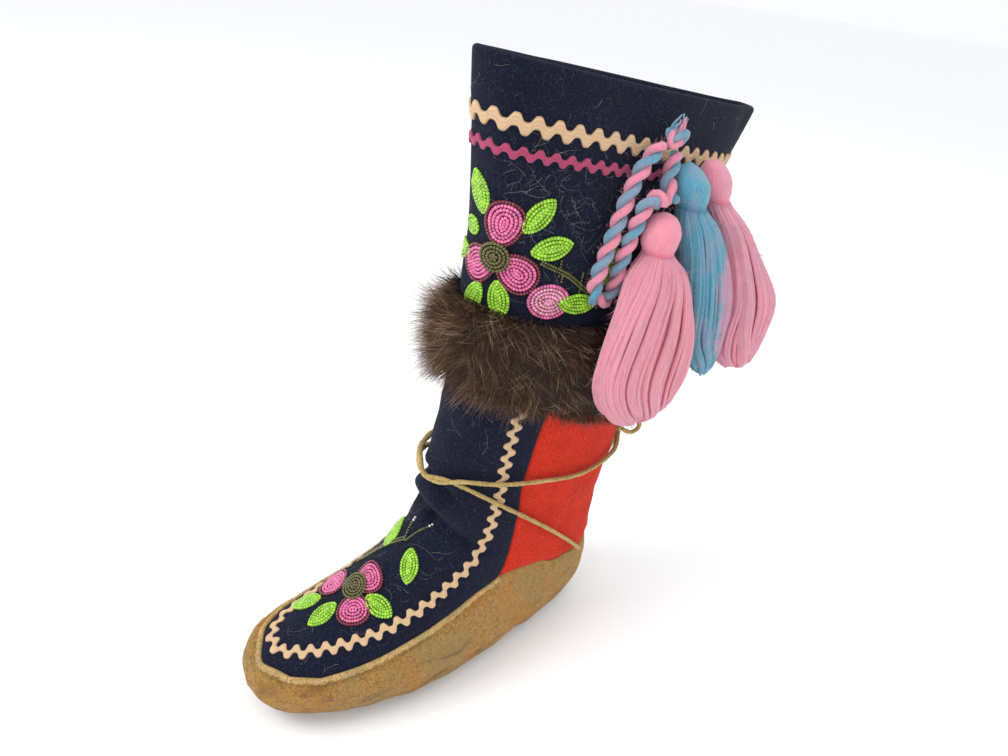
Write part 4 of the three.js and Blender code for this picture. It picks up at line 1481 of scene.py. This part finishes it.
def make_lint():
    """Stray pale hairs lying on the wool, thickest below the collar trims and near the fur."""
    skin = boot_skin(*WOOL_SKIN)
    rng = np.random.default_rng(SEED + 40)
    count = sizes().lint_hairs
    third = count // 3
    ring = np.concatenate([rng.uniform(22.6, 26.8, count - 2 * third), rng.normal(24.9, .6, third),
                           rng.uniform(4, 19.5, third)]).clip(4, 26.9)
    turn = np.concatenate([rng.random(count - 2 * third), rng.normal(.36, .06, third) % 1,
                           rng.uniform(.06, .94, third)])
    low = np.array([r < PEAK for r in ring])
    turn = np.where(low, .5 + (turn - .5) * .28, turn)
    place, normal = form_point(ring, turn), form_normal(ring, turn)
    steps = 7
    start = rng.uniform(0, 2 * np.pi, count)[:, None]
    turning = np.cumsum(rng.normal(0, .2, (count, steps)), 1)
    turning += rng.normal(0, .28, count)[:, None] * np.arange(steps)
    heading = (start + turning)[..., None]
    x = unit(np.cross(normal, (.3, .2, 1)))
    y = np.cross(normal, x)
    stride = (rng.gamma(1.7, 5.2, count).clip(2, 32) * MM / steps)[:, None, None]
    moves = stride * (np.cos(heading) * x[:, None] + np.sin(heading) * y[:, None])
    flat = place[:, None] + np.cumsum(moves, 1)
    ways = np.repeat(normal[:, None], steps, 1)
    lifts = (.15 + 1.1 * rng.random((count, 1)) * np.sin(np.linspace(.2, 2.9, steps))) * MM
    laid, _ = dropped(skin, flat.reshape(-1, 3), ways.reshape(-1, 3), lifts.reshape(-1))
    lint = Finish("lint", Roughness=.6, Specular_IOR_Level=.3)
    tone = lint.attribute("tone")
    finish = lint.wear(lint.mix(paint("474b5b"), paint("c4bfb4"), lint.between(tone, .3, 1)))
    keep(hairs("lint_hairs", laid.reshape(count, steps, 3), .05 * MM), finish, "wool", smoothly=False)


# ---- Stage --------------------------------------------------------------------------------------

CAMERA_PLACE = (.2828, -.2863, .4216)
CAMERA_AIM = (-.001, -.046, .2017)
CAMERA_ROLL = 8.3
CAMERA_LENS = 25.0


def make_stage():
    """A plain pale floor, soft studio light and the camera."""
    bpy.ops.object.select_all(action="DESELECT")
    bpy.ops.mesh.primitive_circle_add(vertices=96, radius=30, fill_type="NGON", location=(0, 0, 0))
    floor = bpy.context.object
    floor.name = floor.data.name = "floor"
    paper = Finish("floor_paper", Roughness=.9, Specular_IOR_Level=.1)
    faint = paper.noise(60, 2)
    floor.data.materials.append(paper.wear(paper.mix(paint("fafafa"), paint("fcfcfc"), faint)))

    world = bpy.data.worlds.new("studio")
    bpy.context.scene.world = world
    world.use_nodes = True
    world.node_tree.nodes["Background"].inputs["Color"].default_value = (.97, .98, 1, 1)
    world.node_tree.nodes["Background"].inputs["Strength"].default_value = 1.0
    for name, place, size, power in (("key", (-.5, -1.3, 1.7), .9, 17), ("fill", (1.6, -.7, 1.2), 1.5, 4),
                                     ("top", (.1, .2, 2.1), 1.6, 5)):
        bpy.ops.object.light_add(type="AREA", location=place)
        light = bpy.context.object
        light.name = name
        light.data.size = size
        light.data.energy = power
        light.rotation_euler = (Vector((0, 0, .15)) - Vector(place)).to_track_quat("-Z", "Y").to_euler()
    bpy.context.scene.view_settings.view_transform = "Standard"

    bpy.ops.object.camera_add(location=CAMERA_PLACE)
    camera = bpy.context.object
    camera.name = "camera"
    camera.data.lens = CAMERA_LENS
    camera.data.clip_start = .02
    look = (Vector(CAMERA_AIM) - Vector(CAMERA_PLACE)).to_track_quat("-Z", "Y")
    roll = Quaternion((0, 0, 1), math.radians(CAMERA_ROLL))
    camera.rotation_mode = "QUATERNION"
    camera.rotation_quaternion = look @ roll
    bpy.context.scene.camera = camera


# ---- The add-on ---------------------------------------------------------------------------------

class MUKLUK_OT_stage(bpy.types.Operator):
    """Add the floor, the lights and the camera"""
    bl_idname = "mukluk.stage"
    bl_label = "Stage"

    def execute(self, context):
        make_stage()
        return {"FINISHED"}


class MUKLUK_OT_tassels(bpy.types.Operator):
    """Add the twisted cord, its knot and the three tassels"""
    bl_idname = "mukluk.tassels"
    bl_label = "Cord and Tassels"

    def execute(self, context):
        make_tassel_cord()
        return {"FINISHED"}


class MUKLUK_OT_ankle_tie(bpy.types.Operator):
    """Add the thong round the ankle with its bow"""
    bl_idname = "mukluk.ankle_tie"
    bl_label = "Ankle Tie"

    def execute(self, context):
        make_ankle_tie()
        return {"FINISHED"}


class MUKLUK_OT_hide_sole(bpy.types.Operator):
    """Add the gathered hide of sole and sides"""
    bl_idname = "mukluk.hide_sole"
    bl_label = "Hide Sole"

    def execute(self, context):
        make_hide_sole()
        return {"FINISHED"}


class MUKLUK_OT_welt(bpy.types.Operator):
    """Add the pale strip between vamp and sole"""
    bl_idname = "mukluk.welt"
    bl_label = "Welt"

    def execute(self, context):
        make_welt()
        return {"FINISHED"}


class MUKLUK_OT_foot_wool(bpy.types.Operator):
    """Add the vamp, the side panels and the heel strip"""
    bl_idname = "mukluk.foot_wool"
    bl_label = "Foot Wool"

    def execute(self, context):
        make_foot_wool()
        return {"FINISHED"}


class MUKLUK_OT_shaft(bpy.types.Operator):
    """Add the shaft's wool and its lining"""
    bl_idname = "mukluk.shaft"
    bl_label = "Shaft"

    def execute(self, context):
        make_shaft()
        return {"FINISHED"}


class MUKLUK_OT_insole(bpy.types.Operator):
    """Add the felt insole"""
    bl_idname = "mukluk.insole"
    bl_label = "Insole"

    def execute(self, context):
        make_insole()
        return {"FINISHED"}


class MUKLUK_OT_fur(bpy.types.Operator):
    """Add the fur band"""
    bl_idname = "mukluk.fur"
    bl_label = "Fur Band"

    def execute(self, context):
        make_fur()
        return {"FINISHED"}


class MUKLUK_OT_rickrack(bpy.types.Operator):
    """Add the zigzag braids"""
    bl_idname = "mukluk.rickrack"
    bl_label = "Rickrack"

    def execute(self, context):
        make_rickrack()
        return {"FINISHED"}


class MUKLUK_OT_beadwork(bpy.types.Operator):
    """Add the beaded flowers"""
    bl_idname = "mukluk.beadwork"
    bl_label = "Beadwork"

    def execute(self, context):
        make_beadwork()
        return {"FINISHED"}


class MUKLUK_OT_lint(bpy.types.Operator):
    """Add stray hairs on the wool"""
    bl_idname = "mukluk.lint"
    bl_label = "Lint"

    def execute(self, context):
        make_lint()
        return {"FINISHED"}


OPERATORS = (
    MUKLUK_OT_stage,
    MUKLUK_OT_tassels,
    MUKLUK_OT_ankle_tie,
    MUKLUK_OT_hide_sole,
    MUKLUK_OT_welt,
    MUKLUK_OT_foot_wool,
    MUKLUK_OT_shaft,
    MUKLUK_OT_insole,
    MUKLUK_OT_fur,
    MUKLUK_OT_rickrack,
    MUKLUK_OT_beadwork,
    MUKLUK_OT_lint,
)


class MUKLUK_PT_panel(bpy.types.Panel):
    """Lists the sizes, the colours and the pieces."""
    bl_label = "Mukluk Boot"
    bl_idname = "MUKLUK_PT_panel"
    bl_space_type = "VIEW_3D"
    bl_region_type = "UI"
    bl_category = "Mukluk"

    def draw(self, context):
        for group in (context.scene.mukluk_sizes, context.scene.mukluk_colours):
            box = self.layout.box()
            for name in group.__annotations__:
                box.prop(group, name)
        for made in OPERATORS:
            self.layout.operator(made.bl_idname)


CLASSES = (MUKLUK_PG_sizes, MUKLUK_PG_colours, *OPERATORS, MUKLUK_PT_panel)


def register():
    for one in CLASSES:
        bpy.utils.register_class(one)
    bpy.types.Scene.mukluk_sizes = PointerProperty(type=MUKLUK_PG_sizes)
    bpy.types.Scene.mukluk_colours = PointerProperty(type=MUKLUK_PG_colours)


def unregister():
    del bpy.types.Scene.mukluk_colours
    del bpy.types.Scene.mukluk_sizes
    for one in reversed(CLASSES):
        bpy.utils.unregister_class(one)


def main():
    register()
    for made in OPERATORS:
        group, name = made.bl_idname.split(".")
        getattr(getattr(bpy.ops, group), name)()


if __name__ == "__main__":
    main()
